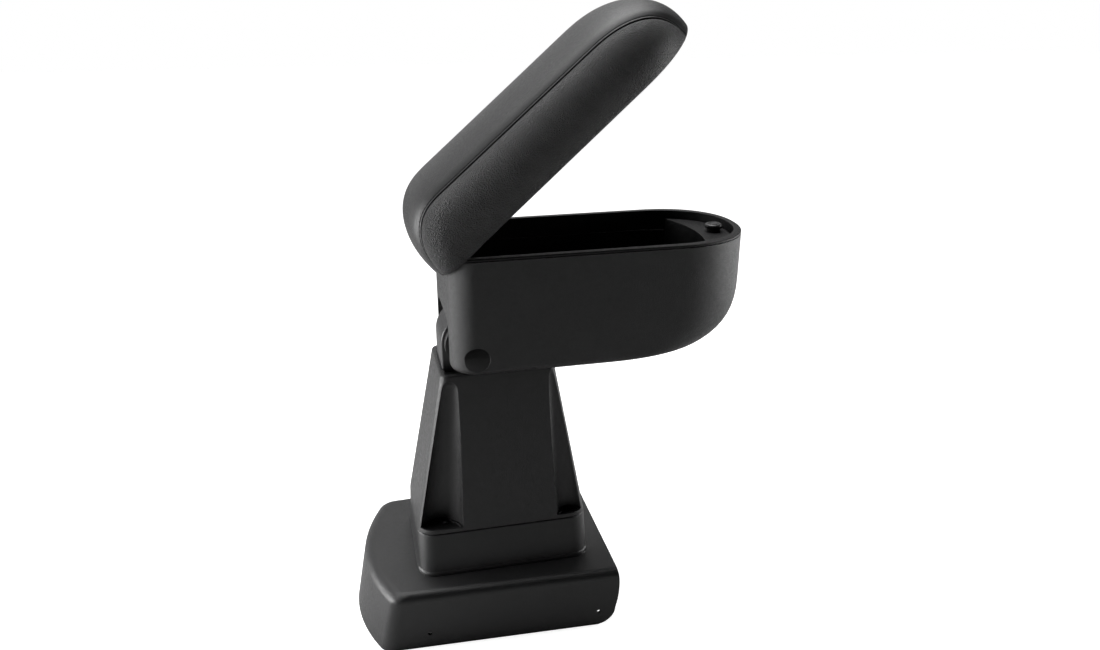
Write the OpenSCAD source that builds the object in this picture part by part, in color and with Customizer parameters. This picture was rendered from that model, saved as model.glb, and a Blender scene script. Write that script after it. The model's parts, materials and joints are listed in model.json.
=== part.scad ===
// Car centre armrest on its console adaptor: a flared base with a plinth, a fluted column,
// a storage bin that tilts on the head of the column, and a padded lid hinged at its rear.
// Millimetres. X runs forward to the nose, Y across the car and Z up. The floor of the base
// lies at Z = 0, and the column stands over X = 0 and Y = 0. The lid is drawn standing open.

/* [Base] */
// Height of the top of the flared base
base_h = 64; // [54:1:70]
// Distance from the column axis forward to the open front end
base_front_x = 107; // [100:1:118]
// Distance from the column axis back to the rear foot
base_rear_x = 146; // [138:1:155]
// Width across the open front end
base_front_w = 184; // [176:1:196]
// Width across the rear corners
base_rear_w = 166; // [156:1:174]
// How far the rear face leans in over the height of the base
base_lean = 12; // [8:1:24]
// How much further out each side wall is at the top than at the floor
base_splay = 4; // [0:0.5:6]
// Rounding of the top edge of the base
base_edge_r = 9; // [7:1:16]
// Wall of the base moulding
base_wall = 3; // [2.5:0.5:4]
// Diameter of the fixing holes in the two side walls
side_hole_d = 4.2; // [3:0.1:6]
// Height of the fixing holes above the floor
side_hole_z = 16.5; // [12:0.5:24]
// Distance between the two fixing holes of one side
side_hole_pitch = 167; // [140:1:175]
// Distance from the column axis forward to the front fixing hole
side_hole_front_x = 87; // [80:1:92]

/* [Plinth and column] */
// Length of the plinth at the seam under the column
plinth_l = 167; // [160:1:174]
// Width of the plinth at the seam under the column
plinth_w = 112; // [106:1:120]
// Height of the seam between plinth and column
seam_z = 106.5; // [100:0.5:112]
// How much wider each side of the plinth is at its foot
plinth_flare = 6.8; // [3:0.1:9]
// Radius of the upright corners of plinth and column
corner_r = 17; // [12:1:20]
// Height of the column top
column_top_z = 264.5; // [255:0.5:266]
// Width of the column top
column_top_w = 78; // [72:1:79]
// Distance from the column axis forward to the column top's front edge
column_top_front = 55; // [50:1:60]
// Distance from the column axis back to the column top's rear edge
column_top_rear = 53.5; // [51:0.5:58]
// Wall of the column moulding
column_wall = 3; // [2.5:0.5:3.5]
// Radius of a rear corner flute at its foot
flute_r = 22; // [19:1:23]
// Radius of a front corner flute at its foot
front_flute_r = 18; // [17:0.5:19]
// Radius of a rear corner flute at its rounded tip
flute_tip_r = 5.5; // [4:0.5:6]
// Distance from the column top down to the tips of the rear flutes
flute_drop = 12; // [8:1:20]
// Diameter of the screws that hold the column down
column_screw_d = 4.2; // [3.5:0.1:5]

/* [Tilt hinge] */
// Distance from the column axis back to the tilt axis
tilt_back = 22.5; // [20:0.5:24]
// Height of the tilt axis
tilt_z = 289.5; // [288:0.5:292]
// Radius of the hinge head round the tilt axis
head_r = 27.5; // [25:0.5:28]
// Width of the hinge head
head_w = 44; // [38:1:48]
// Width over the friction discs that flank the head
disc_stack_w = 60; // [56:1:64]
// Diameter of the tilt bolt
bolt_d = 10; // [8:0.5:12]
// Running clearance round the tilt bolt, on the radius
bolt_gap = 0.06; // [0.02:0.01:0.1]
// Diameter of the recess that hides a bolt end in the side of the bin
recess_d = 23; // [21:1:26]

/* [Bin] */
// Length of the bin from its rear wall to the tip of its nose
bin_l = 288; // [270:1:310]
// Width of the bin at the rim
bin_w = 134; // [126:1:144]
// Height of the bin from its floor to the rim
bin_h = 110; // [102:1:114]
// Gap between the column top and the bottom of the bin
bin_gap = 8.5; // [7:0.5:14]
// Distance from the tilt axis back to the rear wall of the bin
bin_back = 22.1; // [21.5:0.1:23]
// Length of the rounded nose in plan
nose_l = 74; // [64:1:84]
// Length of the curved underside of the nose
nose_under = 86; // [70:1:95]
// Height of the curved underside of the nose
nose_rise = 66; // [50:1:72]
// Radius of the rear upright corners of the bin
bin_corner_r = 22; // [16:1:26]
// Radius of the lower edges of the bin
bin_edge_r = 7.5; // [6:0.5:12]
// Wall of the outer bin shell
bin_wall = 3; // [2.5:0.5:3.5]
// Wall of the inner liner
liner_wall = 2; // [1.5:0.5:2.5]
// Thickness of the liner's rim flange
rim_t = 2.2; // [1.8:0.1:3]

/* [Lid] */
// Angle at which the lid stands open
lid_open = 41.8; // [30:0.1:50]
// Distance from the rear wall of the bin forward to the lid hinge
hinge_in = 15.1; // [14:0.1:18]
// Thickness of the padded lid
lid_t = 62; // [54:1:70]
// Overhang of the lid behind the rear wall
lid_over_rear = 18; // [17:0.5:20]
// Overhang of the lid past the nose
lid_over_nose = 4.5; // [2:0.5:7]
// Overhang of the lid at each side
lid_over_side = 2; // [1.5:0.5:4]
// Half width of the top panel of the cover, from seam to seam
seam_y = 60; // [54:1:62]
// Crown of the top panel between its seams
crown = 8; // [4:1:12]
// Thickness of the cover
cover_t = 1.6; // [1.2:0.1:2.2]
// Diameter of the lid hinge pin
pin_d = 4; // [3:0.5:5]
// Running clearance round the hinge pin, on the radius
pin_gap = 0.05; // [0.02:0.01:0.1]

/* [Hidden] */
$fn = 64;

// clearances
seat = 0.3;
fit = 0.1;
over = 1;
turn = 0.5;

// tilt axis and bin frame
tilt_x = -tilt_back;
bin_rear_x = tilt_x - bin_back;
bin_tip_x = bin_rear_x + bin_l;
bin_z0 = column_top_z + bin_gap;
rim_z = bin_z0 + bin_h;
slot_half = column_top_w / 2 + 2;
slot_r = head_r + 1.3;
cheek_t = 3.2;
cheek_y = slot_half + cheek_t;
recess_wall = 2.5;

// lid frame
hinge_x = bin_rear_x + hinge_in;
hinge_z = rim_z + turn;
lid_rear_u = -(hinge_in + lid_over_rear);
lid_tip_u = bin_tip_x + lid_over_nose - hinge_x;
lid_half = bin_w / 2 + lid_over_side;

// a closed solid through a stack of rings that all have the same number of points
module skin(rings) {
  n = len(rings[0]);
  m = len(rings);
  polyhedron(
    points = [for (ring = rings) for (p = ring) p],
    faces = concat(
      [[for (j = [0 : n - 1]) j]],
      [for (k = [0 : m - 2]) for (j = [0 : n - 1])
        [k * n + j, (k + 1) * n + j, (k + 1) * n + (j + 1) % n]],
      [for (k = [0 : m - 2]) for (j = [0 : n - 1])
        [k * n + j, (k + 1) * n + (j + 1) % n, k * n + (j + 1) % n]],
      [[for (j = [n - 1 : -1 : 0]) (m - 1) * n + j]]
    )
  );
}

function at_z(outline, z) = [for (p = outline) [p[0], p[1], z]];
function reversed(list) = [for (i = [len(list) - 1 : -1 : 0]) list[i]];
function arc(cx, cy, r, a0, a1, steps) =
  [for (i = [0 : steps]) let (a = a0 + (a1 - a0) * i / steps) [cx + r * cos(a), cy + r * sin(a)]];
// inset of a rounded edge of radius r, at the distance h from the face that it runs into
function edge_inset(r, h) = h >= r ? 0 : r - sqrt(r * r - (r - h) * (r - h));
function mix(a, b, t) = a + (b - a) * t;

// a rounded rectangle from x0 to x1 and w wide
function round_box(x0, x1, w, r, steps = 5) = concat(
  arc(x1 - r, -w / 2 + r, r, -90, 0, steps),
  arc(x1 - r, w / 2 - r, r, 0, 90, steps),
  arc(x0 + r, w / 2 - r, r, 90, 180, steps),
  arc(x0 + r, -w / 2 + r, r, 180, 270, steps)
);

// base: the side walls splay forward, the rear face is bowed and leans in
base_corner_r = 15;
base_bow = 17;
base_run = 30;
function base_half(x) = mix(base_rear_w, base_front_w,
  (x + base_rear_x) / (base_rear_x + base_front_x)) / 2;
function base_outline(z, d) = let (
    in = d + edge_inset(base_edge_r, base_h - z),
    rear = -base_rear_x + base_lean * z / base_h + in,
    front = base_front_x + base_run,
    corner_x = rear + base_bow,
    splay = base_splay * z / base_h,
    half = base_half(corner_x) + splay - in,
    r = base_corner_r,
    front_half = base_half(base_front_x) + splay - in + (base_front_w - base_rear_w) / 2
      * base_run / (base_rear_x + base_front_x)
  ) concat(
    [[front, -front_half], [front, front_half]],
    arc(corner_x + r, half - r, r, 86, 150, 4),
    [for (i = [3 : -1 : -3]) let (t = i / 4)
      [mix(rear, corner_x + r - r * cos(30), t * t), t * (half - r + r * sin(30))]],
    arc(corner_x + r, -half + r, r, 210, 274, 4)
  );
function base_rings(d) = [for (z = concat([d == 0 ? 0 : -over],
    [for (a = [0 : 18 : 90]) base_h - base_edge_r + (base_edge_r - d) * sin(a)]))
  at_z(base_outline(z + (d == 0 ? 0 : d * max(0, z - base_h + base_edge_r) / base_edge_r), d), z)];

plinth_draft_x = 1.3;
function plinth_ring(z, d) = let (t = (seam_z - z) / (seam_z - base_h))
  at_z(round_box(-plinth_l / 2 - plinth_draft_x * t + d, plinth_l / 2 + plinth_draft_x * t - d,
    plinth_w + 2 * plinth_flare * t - 2 * d, corner_r - d), z);

column_screw_x = plinth_l / 2 - 28;
column_screw_y = plinth_w / 2 - 17;
boss_r = 5.5;
boss_h = 14;
column_screw_l = 11;
bead_r = 2.2;

module corners(x, y) {
  for (sx = [-1, 1]) {
    for (sy = [-1, 1]) {
      translate([sx * x, sy * y, 0]) children();
    }
  }
}

// side view of the base: open front end, its edge bowed a little, the lower corner rounded
base_front_bow = 3;
base_foot_r = 20;
module base_side_trim() {
  rotate([90, 0, 0]) {
    linear_extrude(height = 2 * base_front_w, center = true) {
      polygon(concat(
        [[-base_rear_x - over, -2 * over], [base_front_x - base_front_bow - base_foot_r, -2 * over]],
        [[base_front_x - base_front_bow - base_foot_r, 0]],
        arc(base_front_x - base_front_bow - base_foot_r, base_foot_r, base_foot_r, -80, 0, 8),
        [[base_front_x - 0.8, base_h * 0.5], [base_front_x, base_h * 0.7],
          [base_front_x - 1, base_h * 0.95], [base_front_x - 2, base_h + over],
          [-base_rear_x - over, base_h + over]]
      ));
    }
  }
}

// moulded base with its side, rear and top walls and the plinth, open below and in front
module base_shell() {
  color("#1d1d1f")
  difference() {
    union() {
      difference() {
        union() {
          intersection() {
            skin(base_rings(0));
            base_side_trim();
          }
          skin([plinth_ring(base_h - over, 0), plinth_ring(base_h + bead_r, -0.9),
            plinth_ring(base_h + 2 * bead_r, 0), plinth_ring(seam_z - 1, 0),
            plinth_ring(seam_z, 0.8)]);
        }
        skin(base_rings(base_wall));
        skin([plinth_ring(base_h - 2 * base_wall, base_wall), plinth_ring(seam_z - base_wall, base_wall)]);
      }
      translate([0, 0, seam_z - boss_h]) {
        corners(column_screw_x, column_screw_y) cylinder(r = boss_r, h = boss_h - over);
      }
    }
    translate([0, 0, seam_z - boss_h - over]) {
      corners(column_screw_x, column_screw_y) {
        cylinder(d = column_screw_d, h = boss_h + 2 * over);
      }
    }
    for (x = [side_hole_front_x, side_hole_front_x - side_hole_pitch]) {
      translate([x, 0, side_hole_z]) {
        rotate([90, 0, 0]) {
          cylinder(d = side_hole_d, h = base_front_w + 4 * base_splay + 2 * over, center = true);
        }
      }
    }
  }
}

// column: tapered, with a flute in each corner that ends in a screw pocket
pocket_floor = 2.5;
pocket_lip = 2;
top_dish = 5;
dish_half = column_top_w / 2 - 3;
dish_r = (dish_half * dish_half + top_dish * top_dish) / (2 * top_dish);
deck_z = column_top_z - top_dish;
deck_t = 4;
function column_ring(z, d) = let (t = (z - seam_z) / (column_top_z - seam_z))
  at_z(round_box(mix(-plinth_l / 2, -column_top_rear, t) + d, mix(plinth_l / 2, column_top_front, t) - d,
    mix(plinth_w, column_top_w, t) - 2 * d, mix(corner_r, 7, t) - d / 2), z);
// front and rear flutes: direction, foot x, foot radius, tip x, tip radius, depth of the tip
front_tip_r = 2.5;
flute_sizes = [
  [1, plinth_l / 2 - 20, front_flute_r, column_top_front + 1.5, front_tip_r, flute_drop / 2],
  [-1, plinth_l / 2 - 25, flute_r, column_top_rear - 5, flute_tip_r, flute_drop]
];
flute_y = plinth_w / 2 - 15;
// a cone from the foot to a round tip, cut off level at its foot
module flute(foot_x, foot_r, tip_x, tip_r, drop, grow) {
  foot = [foot_x, flute_y, seam_z + pocket_floor + 1];
  tip = [tip_x, column_top_w / 2 + 1.5, column_top_z - drop];
  rise = tip - foot;
  len_f = norm(rise);
  intersection() {
    union() {
      translate(foot) {
        rotate([0, 0, atan2(rise[1], rise[0])]) {
          rotate([0, acos(rise[2] / len_f), 0]) {
            translate([0, 0, -len_f * 0.1]) {
              cylinder(r1 = mix(foot_r, tip_r, -0.1) + grow, r2 = tip_r + grow, h = len_f * 1.1);
            }
          }
        }
      }
      translate(tip) sphere(r = tip_r + grow);
    }
    translate([0, 0, seam_z + pocket_floor + pocket_lip - grow]) {
      cube([plinth_l, plinth_w, column_top_z]);
    }
  }
}
module flutes(grow) {
  for (f = flute_sizes) {
    mirror_y() facing(f[0]) flute(f[1], f[2], f[3], f[4], f[5], grow);
  }
}
// mirrored along x where the direction is -1
module facing(direction) {
  mirror([direction < 0 ? 1 : 0, 0, 0]) children();
}
// round pockets at the feet of the flutes, from the level low to the level high
module pockets(inset, low, high) {
  for (f = flute_sizes) {
    mirror_y() translate([f[0] * f[1], flute_y, low]) cylinder(r = f[2] - inset, h = high - low);
  }
}
module column_shell() {
  color("#1c1c1e")
  difference() {
    skin([column_ring(seam_z, 0.8), column_ring(seam_z + 1, 0), column_ring(column_top_z - 2, 0),
      column_ring(column_top_z, 1.2)]);
    flutes(0);
    difference() {
      skin([column_ring(seam_z - over, column_wall), column_ring(deck_z - deck_t, column_wall)]);
      flutes(column_wall);
      pockets(-1, seam_z - 2 * over, seam_z + pocket_floor);
    }
    intersection() {
      pockets(2, seam_z + pocket_floor, seam_z + pocket_floor + pocket_lip + over);
      skin([column_ring(seam_z, pocket_lip), column_ring(column_top_z, pocket_lip)]);
    }
    translate([0, 0, seam_z - over]) {
      corners(column_screw_x, column_screw_y) {
        cylinder(d = column_screw_d, h = pocket_floor + 3 * over);
      }
    }
    translate([0, 0, deck_z + dish_r]) {
      rotate([0, 90, 0]) cylinder(r = dish_r, h = column_top_rear + column_top_front - 12, center = true);
    }
    translate([tilt_x - head_r - seat, -head_w / 2 - seat, deck_z]) {
      cube([2 * head_r + 2 * seat, head_w + 2 * seat, top_dish + over]);
    }
    head_screw_places() {
      translate([0, 0, deck_z - deck_t - over]) cylinder(d = head_screw_d + fit, h = deck_t + 2 * over);
    }
  }
}

// raised-head screw that points down, its seat at the origin
module pan_screw(d, length, head = 2) {
  cylinder(d = 2 * d, h = head * 0.55);
  translate([0, 0, head * 0.55]) cylinder(d1 = 2 * d, d2 = 1.3 * d, h = head * 0.45);
  translate([0, 0, -length]) cylinder(d = d, h = length + head * 0.2);
}
module column_screws() {
  color("#3a3a3c")
  translate([0, 0, seam_z + pocket_floor]) {
    corners(column_screw_x, column_screw_y) pan_screw(column_screw_d, column_screw_l);
  }
}

// hinge head: a lug on the column top that the bin tilts round, bolted down through a steel plate
head_screw_d = 6;
head_screw_y = 14;
head_screw_x = 14;
head_plate_t = 3;
module lug(r, w) {
  rotate([90, 0, 0]) cylinder(r = r, h = w, center = true);
}
module at_tilt() {
  translate([tilt_x, 0, tilt_z]) children();
}
module mirror_y() {
  children();
  mirror([0, 1, 0]) children();
}
module head_screw_places() {
  translate([tilt_x, 0, 0]) corners(head_screw_x, head_screw_y) children();
}
module hinge_head() {
  color("#262628")
  difference() {
    union() {
      at_tilt() lug(head_r, head_w);
      translate([tilt_x - head_r, -head_w / 2, deck_z]) cube([2 * head_r, head_w, tilt_z - deck_z]);
    }
    at_tilt() lug(bolt_d / 2 + bolt_gap, head_w + 2 * over);
    head_screw_places() {
      translate([0, 0, deck_z - over]) cylinder(d = head_screw_d, h = 15);
    }
  }
}
module head_plate() {
  color("silver")
  difference() {
    translate([tilt_x - head_r + 2, -head_w / 2, deck_z - deck_t - head_plate_t]) {
      cube([2 * head_r, head_w, head_plate_t]);
    }
    head_screw_places() {
      translate([0, 0, deck_z - deck_t - head_plate_t - over]) {
        cylinder(d = head_screw_d + fit, h = head_plate_t + 2 * over);
      }
    }
  }
}
module head_screws() {
  color("gray")
  translate([0, 0, deck_z - deck_t - head_plate_t]) {
    head_screw_places() {
      translate([0, 0, -4]) cylinder(d = 10, h = 4, $fn = 6);
      cylinder(d = head_screw_d, h = deck_t + head_plate_t + 12);
    }
  }
}

// bin: plan outline at one level, with a blunt rounded nose and round rear corners
bin_draft = 0.8;
nose_power = 2.2;
under_power = 2.7;
function soft(x, power) = x <= 0 ? 0 : pow(x, 2 / power);
function bin_outline(rear, tip, half, r) = concat(
  [for (a = [-90 : 9 : 90]) [tip - nose_l + nose_l * soft(cos(a), nose_power),
    half * sign(a) * soft(abs(sin(a)), nose_power)]],
  arc(rear + r, half - r, r, 90, 180, 5),
  arc(rear + r, -half + r, r, 180, 270, 5)
);
function bin_ring(z, d, tip) = let (
    in = d + edge_inset(bin_edge_r - d / 2, z - bin_z0 - d),
    half = bin_w / 2 - bin_draft * (rim_z - z) / bin_h - in
  ) at_z(bin_outline(bin_rear_x + in, tip - in, half, bin_corner_r - d), z);
// rings from the floor up to the start of the straight wall
function bin_floor_rings(d) = [for (a = [90, 84, 76, 66, 54, 38, 19, 0])
  bin_ring(bin_z0 + d + (nose_rise - d) * (1 - soft(sin(a), under_power)), d,
    bin_tip_x - (nose_under - d) * (1 - soft(cos(a), under_power)))];
module bin_solid(d, top) {
  skin(concat(bin_floor_rings(d), [bin_ring(top, d, bin_tip_x)]));
}

// space in the bin for the hinge head, open to the floor and the rear, its rear arch rounded
arch_r = 15;
module slot_shape(r, half) {
  rotate([90, 0, 0]) cylinder(r = r, h = 2 * half, center = true);
  translate([-r, -half, column_top_z - tilt_z]) cube([2 * r, 2 * half, tilt_z - column_top_z]);
  translate([-2 * bin_back, 0, 0]) {
    rotate([90, 0, 90]) {
      linear_extrude(height = 2 * bin_back) {
        polygon(concat([[-half, -r], [half, -r]],
          arc(half - arch_r, r - arch_r, arch_r, 0, 90, 6),
          arc(arch_r - half, r - arch_r, arch_r, 90, 180, 6)));
      }
    }
  }
}
module side_rod(r, y0, y1) {
  rotate([90, 0, 0]) translate([0, 0, -y1]) cylinder(r = r, h = y1 - y0);
}

// hinge stack from the head outwards: friction disc, bush flange, cheek of the bin, washer
disc_r = 24.5;
disc_groove = 0.6;
bush_flange_t = 1.5;
bush_flange_r = 9.5;
bush_r = bolt_d / 2 + 2;
washer_t = 1.6;
washer_r = recess_d / 2 - 1.5;
bolt_head_t = 6.5;
bolt_across = 17;
flange_in = disc_stack_w / 2 + seat;
cheek_in = flange_in + bush_flange_t;
recess_y = cheek_y + 4;
washer_y = recess_y + washer_t;

liner_gap = 0.4;
flange_w = 6.5;
ledge_drop = 20;
liner_in = flange_w + 1.6;
liner_out = liner_in - liner_wall;
liner_screw_d = 3.5;
liner_screw_x = [tilt_x + slot_r + 30, bin_tip_x - nose_l - 50];
liner_screw_y = bin_w / 2 - 29;
leaf_screw_z = rim_z - ledge_drop - 9;
leaf_screw_y = 32;
module liner_screw_places(z) {
  for (x = liner_screw_x) {
    mirror_y() translate([x, liner_screw_y, bin_z0 + z]) children();
  }
}
module leaf_screw_places(d) {
  for (y = [-leaf_screw_y, 0, leaf_screw_y]) {
    translate([bin_rear_x + d, y, leaf_screw_z]) rotate([0, 90, 0]) children();
  }
}
module bin_shell() {
  color("#1b1b1d")
  difference() {
    union() {
      difference() {
        bin_solid(0, rim_z - rim_t - turn);
        difference() {
          bin_solid(bin_wall, rim_z + over);
          at_tilt() {
            slot_shape(slot_r + cheek_t, cheek_y);
            mirror_y() side_rod(recess_d / 2 + recess_wall, cheek_y - over, bin_w);
          }
          liner_screw_places(0) cylinder(r = 5, h = liner_out);
          leaf_screw_places(0) cylinder(r = 5, h = liner_out);
        }
        at_tilt() slot_shape(slot_r, slot_half);
      }
      at_tilt() mirror_y() side_rod(bush_flange_r + 0.5, cheek_in, slot_half + over);
    }
    at_tilt() {
      mirror_y() {
        side_rod(recess_d / 2, recess_y, bin_w);
        side_rod(bush_r, cheek_in - over, recess_y + over);
      }
    }
    liner_screw_places(bin_wall / 2) cylinder(d = liner_screw_d, h = 2 * bin_wall);
    leaf_screw_places(bin_wall / 2) cylinder(d = liner_screw_d, h = 2 * bin_wall);
  }
}

// liner: an inner tub with a rim flange, a ledge under the rim and a raised rear floor
step_x = tilt_x + slot_r + cheek_t + liner_gap;
step_z = tilt_z + slot_r + cheek_t + liner_gap;
tower_x = bin_tip_x - 31.4;
tower_y = 26;
tower_z = rim_z - 60;
latch_screw_l = 13;
function wall_ring(z, d) = bin_ring(z, d, bin_tip_x);
function rim_plan(d) = [for (p = wall_ring(rim_z, d)) [p[0], p[1]]];
module liner_step(grow) {
  translate([bin_rear_x, -bin_w / 2, bin_z0]) {
    cube([step_x - bin_rear_x + grow, bin_w, step_z - bin_z0 + grow]);
  }
}
module tower_places(z) {
  mirror_y() translate([tower_x, tower_y, z]) children();
}
module bin_liner() {
  color("#111112")
  difference() {
    skin(concat(
      bin_floor_rings(liner_out),
      [wall_ring(rim_z - ledge_drop - liner_wall, liner_out),
        wall_ring(rim_z - ledge_drop - liner_wall, flange_w - liner_wall),
        wall_ring(rim_z - rim_t - turn, flange_w - liner_wall), wall_ring(rim_z - rim_t - turn, 1.4),
        wall_ring(rim_z - rim_t, 1.2), wall_ring(rim_z - rim_t, 0.2), wall_ring(rim_z - 0.8, 0),
        wall_ring(rim_z, 0.8)]
    ));
    difference() {
      skin(concat(bin_floor_rings(liner_in),
        [wall_ring(rim_z - ledge_drop, liner_in), wall_ring(rim_z - ledge_drop, flange_w),
          wall_ring(rim_z + over, flange_w)]));
      liner_step(liner_wall);
      tower_places(bin_z0) cylinder(r = 6, h = tower_z - bin_z0);
    }
    liner_step(0);
    tower_places(bin_z0) cylinder(r = 4, h = tower_z - 4 - bin_z0);
    tower_places(bin_z0) cylinder(d = liner_screw_d, h = tower_z);
    liner_screw_places(0) cylinder(d = liner_screw_d, h = 2 * liner_in);
    leaf_screw_places(liner_out - over) cylinder(d = liner_screw_d, h = liner_wall + 2 * over);
  }
}
module liner_screws() {
  color("#3a3a3c")
  liner_screw_places(liner_in) pan_screw(liner_screw_d, liner_in - bin_wall / 2);
}
module tilt_bolt() {
  color("silver")
  at_tilt() {
    difference() {
      union() {
        lug(bolt_d / 2, 2 * (washer_y + bolt_head_t));
        translate([0, -washer_y, 0]) {
          rotate([90, 0, 0]) cylinder(d = bolt_across, h = bolt_head_t);
        }
      }
      translate([0, -washer_y - bolt_head_t / 2, 0]) {
        rotate([90, 0, 0]) cylinder(d = 8, h = bolt_head_t, $fn = 6);
      }
    }
  }
}
module tilt_nut() {
  color("silver")
  at_tilt() {
    difference() {
      side_rod(bolt_across / 2, washer_y, washer_y + bolt_head_t - over);
      side_rod(bolt_d / 2, washer_y - over, washer_y + bolt_head_t);
    }
  }
}
module tilt_washers() {
  color("silver")
  at_tilt() {
    mirror_y() {
      difference() {
        side_rod(washer_r, recess_y, washer_y);
        side_rod(bolt_d / 2, recess_y - over, washer_y + over);
      }
    }
  }
}
module friction_discs() {
  color("#4a4a4d")
  at_tilt() {
    mirror_y() {
      difference() {
        union() {
          side_rod(disc_r - 4, head_w / 2, disc_stack_w / 2);
          side_rod(disc_r, head_w / 2 + disc_groove, disc_stack_w / 2);
        }
        side_rod(bolt_d / 2 + bolt_gap, head_w / 2 - over, disc_stack_w / 2 + over);
      }
    }
  }
}
module tilt_bushes() {
  color("#5b5b5e")
  at_tilt() {
    mirror_y() {
      difference() {
        union() {
          side_rod(bush_flange_r, flange_in, cheek_in);
          side_rod(bush_r, cheek_in - turn, recess_y);
        }
        side_rod(bolt_d / 2, flange_in - over, recess_y + over);
      }
    }
  }
}

// latch block: a hollow cap in the nose of the liner, its inboard face an arc, with the stud on it
block_top_z = rim_z - 8;
block_gap = 0.2;
block_wall = 2.5;
block_arc_r = 123;
block_l = 40;
block_face_x = bin_tip_x - 38.4;
stud_x = bin_tip_x - 21.4;
stud_d = 17;
shank_d = 6;
module nose_part(d, grow) {
  difference() {
    skin(concat(bin_floor_rings(liner_in + d), [wall_ring(block_top_z - grow, liner_in + d)]));
    translate([block_face_x - block_arc_r, 0, 0]) cylinder(r = block_arc_r + grow, h = 2 * rim_z);
    translate([bin_rear_x - bin_w, -bin_w, 0]) {
      cube([block_face_x - block_l - bin_rear_x + bin_w, 2 * bin_w, 2 * rim_z]);
    }
  }
}
module latch_block() {
  color("#19191b")
  difference() {
    nose_part(block_gap, 0);
    difference() {
      intersection() {
        translate([0, 0, bin_z0]) {
          linear_extrude(height = block_top_z - block_wall - bin_z0) {
            polygon(rim_plan(liner_in + block_wall));
          }
        }
        translate([block_face_x - block_l, -bin_w, 0]) cube([bin_w, 2 * bin_w, 2 * rim_z]);
      }
      translate([block_face_x - block_arc_r, 0, 0]) cylinder(r = block_arc_r + block_wall, h = 2 * rim_z);
      tower_places(tower_z) cylinder(r = 5.5, h = rim_z - tower_z);
      translate([stud_x, 0, block_top_z - 16]) cylinder(r = 6, h = 16);
    }
    tower_places(bin_z0) cylinder(r = 6 + block_gap, h = tower_z - bin_z0);
    tower_places(bin_z0) cylinder(d = liner_screw_d, h = tower_z + 10 - bin_z0);
    translate([stud_x, 0, block_top_z - 14]) cylinder(d = shank_d, h = 16);
  }
}
module latch_stud() {
  color("#202022")
  translate([stud_x, 0, block_top_z]) {
    translate([0, 0, -12]) cylinder(d = shank_d, h = 13);
    rotate_extrude() {
      polygon([[0, 0], [stud_d / 2 - 2, 0], [stud_d / 2 - 2, 2.5], [stud_d / 2, 3.5], [stud_d / 2, 5.5],
        [stud_d / 2 - 0.6, 6.8], [stud_d / 2 - 2, 7.5], [stud_d / 2 - 3, 7.5], [stud_d / 2 - 3.4, 6.8],
        [stud_d / 2 - 4.6, 6.8], [stud_d / 2 - 5, 7.5], [0, 7.5]]);
    }
  }
}
module latch_screws() {
  color("#3a3a3c")
  tower_places(tower_z - 4) mirror([0, 0, 1]) pan_screw(liner_screw_d, latch_screw_l);
}

// rear hinge leaf of the lid, screwed to the rear wall of the liner
leaf_t = 2;
leaf_half = 42;
leaf_x = bin_rear_x + liner_in;
knuckle_r = 4.5;
knuckle_mid = 8;
knuckle_out = 28;
knuckle_ends = [[-leaf_half, -knuckle_out], [-knuckle_mid, knuckle_mid], [knuckle_out, leaf_half]];
lid_knuckle_ends = [[fit - knuckle_out, -knuckle_mid - fit], [knuckle_mid + fit, knuckle_out - fit]];
module at_hinge() {
  translate([hinge_x, 0, hinge_z]) children();
}
module knuckles(ends, r) {
  for (e = ends) {
    side_rod(r, e[0], e[1]);
  }
}
module hinge_leaf() {
  color("silver")
  difference() {
    union() {
      translate([leaf_x, -leaf_half, rim_z - ledge_drop - 18]) {
        cube([leaf_t, 2 * leaf_half, ledge_drop + 18 - knuckle_r]);
      }
      at_hinge() knuckles(knuckle_ends, knuckle_r);
      for (e = knuckle_ends) {
        translate([leaf_x, e[0], hinge_z - knuckle_r - turn]) {
          cube([hinge_x - leaf_x, e[1] - e[0], knuckle_r]);
        }
      }
    }
    at_hinge() lug(pin_d / 2, 3 * leaf_half);
    leaf_screw_places(liner_in - over) cylinder(d = liner_screw_d, h = leaf_t + 2 * over);
  }
}
module leaf_screws() {
  color("#3a3a3c")
  leaf_screw_places(liner_in + leaf_t) pan_screw(liner_screw_d, liner_in + leaf_t - bin_wall / 2 - fit);
}
module lid_hinge_pin() {
  color("silver")
  at_hinge() lug(pin_d / 2, 2 * leaf_half);
}

// lid: u runs forward along its underside, w up from it. A station s runs from the rear foot (0)
// over the rear round (to 1), the top (to 2) and the nose round (to 3) down to the nose foot
rear_l = 55;
rear_power = 2.4;
front_l = 80;
front_power = 2.3;
lid_drop = 2.5;
rear_crown = 7.4;
nose_crown = 15;
crown_power = 2.5;
plan_nose_l = 73;
side_turn = 105;
strip_steps = 6;
side_steps = 4;
stations = concat([for (i = [0 : 5]) i / 6], [for (i = [0 : 4]) 1 + i / 5], [for (i = [0 : 6]) 2 + i / 6]);
function snap(p) = [for (v = p) round(v * 1000) / 1000];
// half width of the lid's underside at u
function plan_half(u) = u < 5
  ? lid_half - 16 * pow((5 - u) / (5 - lid_rear_u - rear_crown), 2)
  : u < lid_tip_u - plan_nose_l ? lid_half
  : lid_half * soft(sqrt(1 - pow((u - lid_tip_u + plan_nose_l) / plan_nose_l, nose_power)), nose_power);
function crown_at(s) = s < 1 ? mix(rear_crown, crown, s) : s < 2 ? crown : mix(crown, nose_crown, s - 2);
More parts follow.
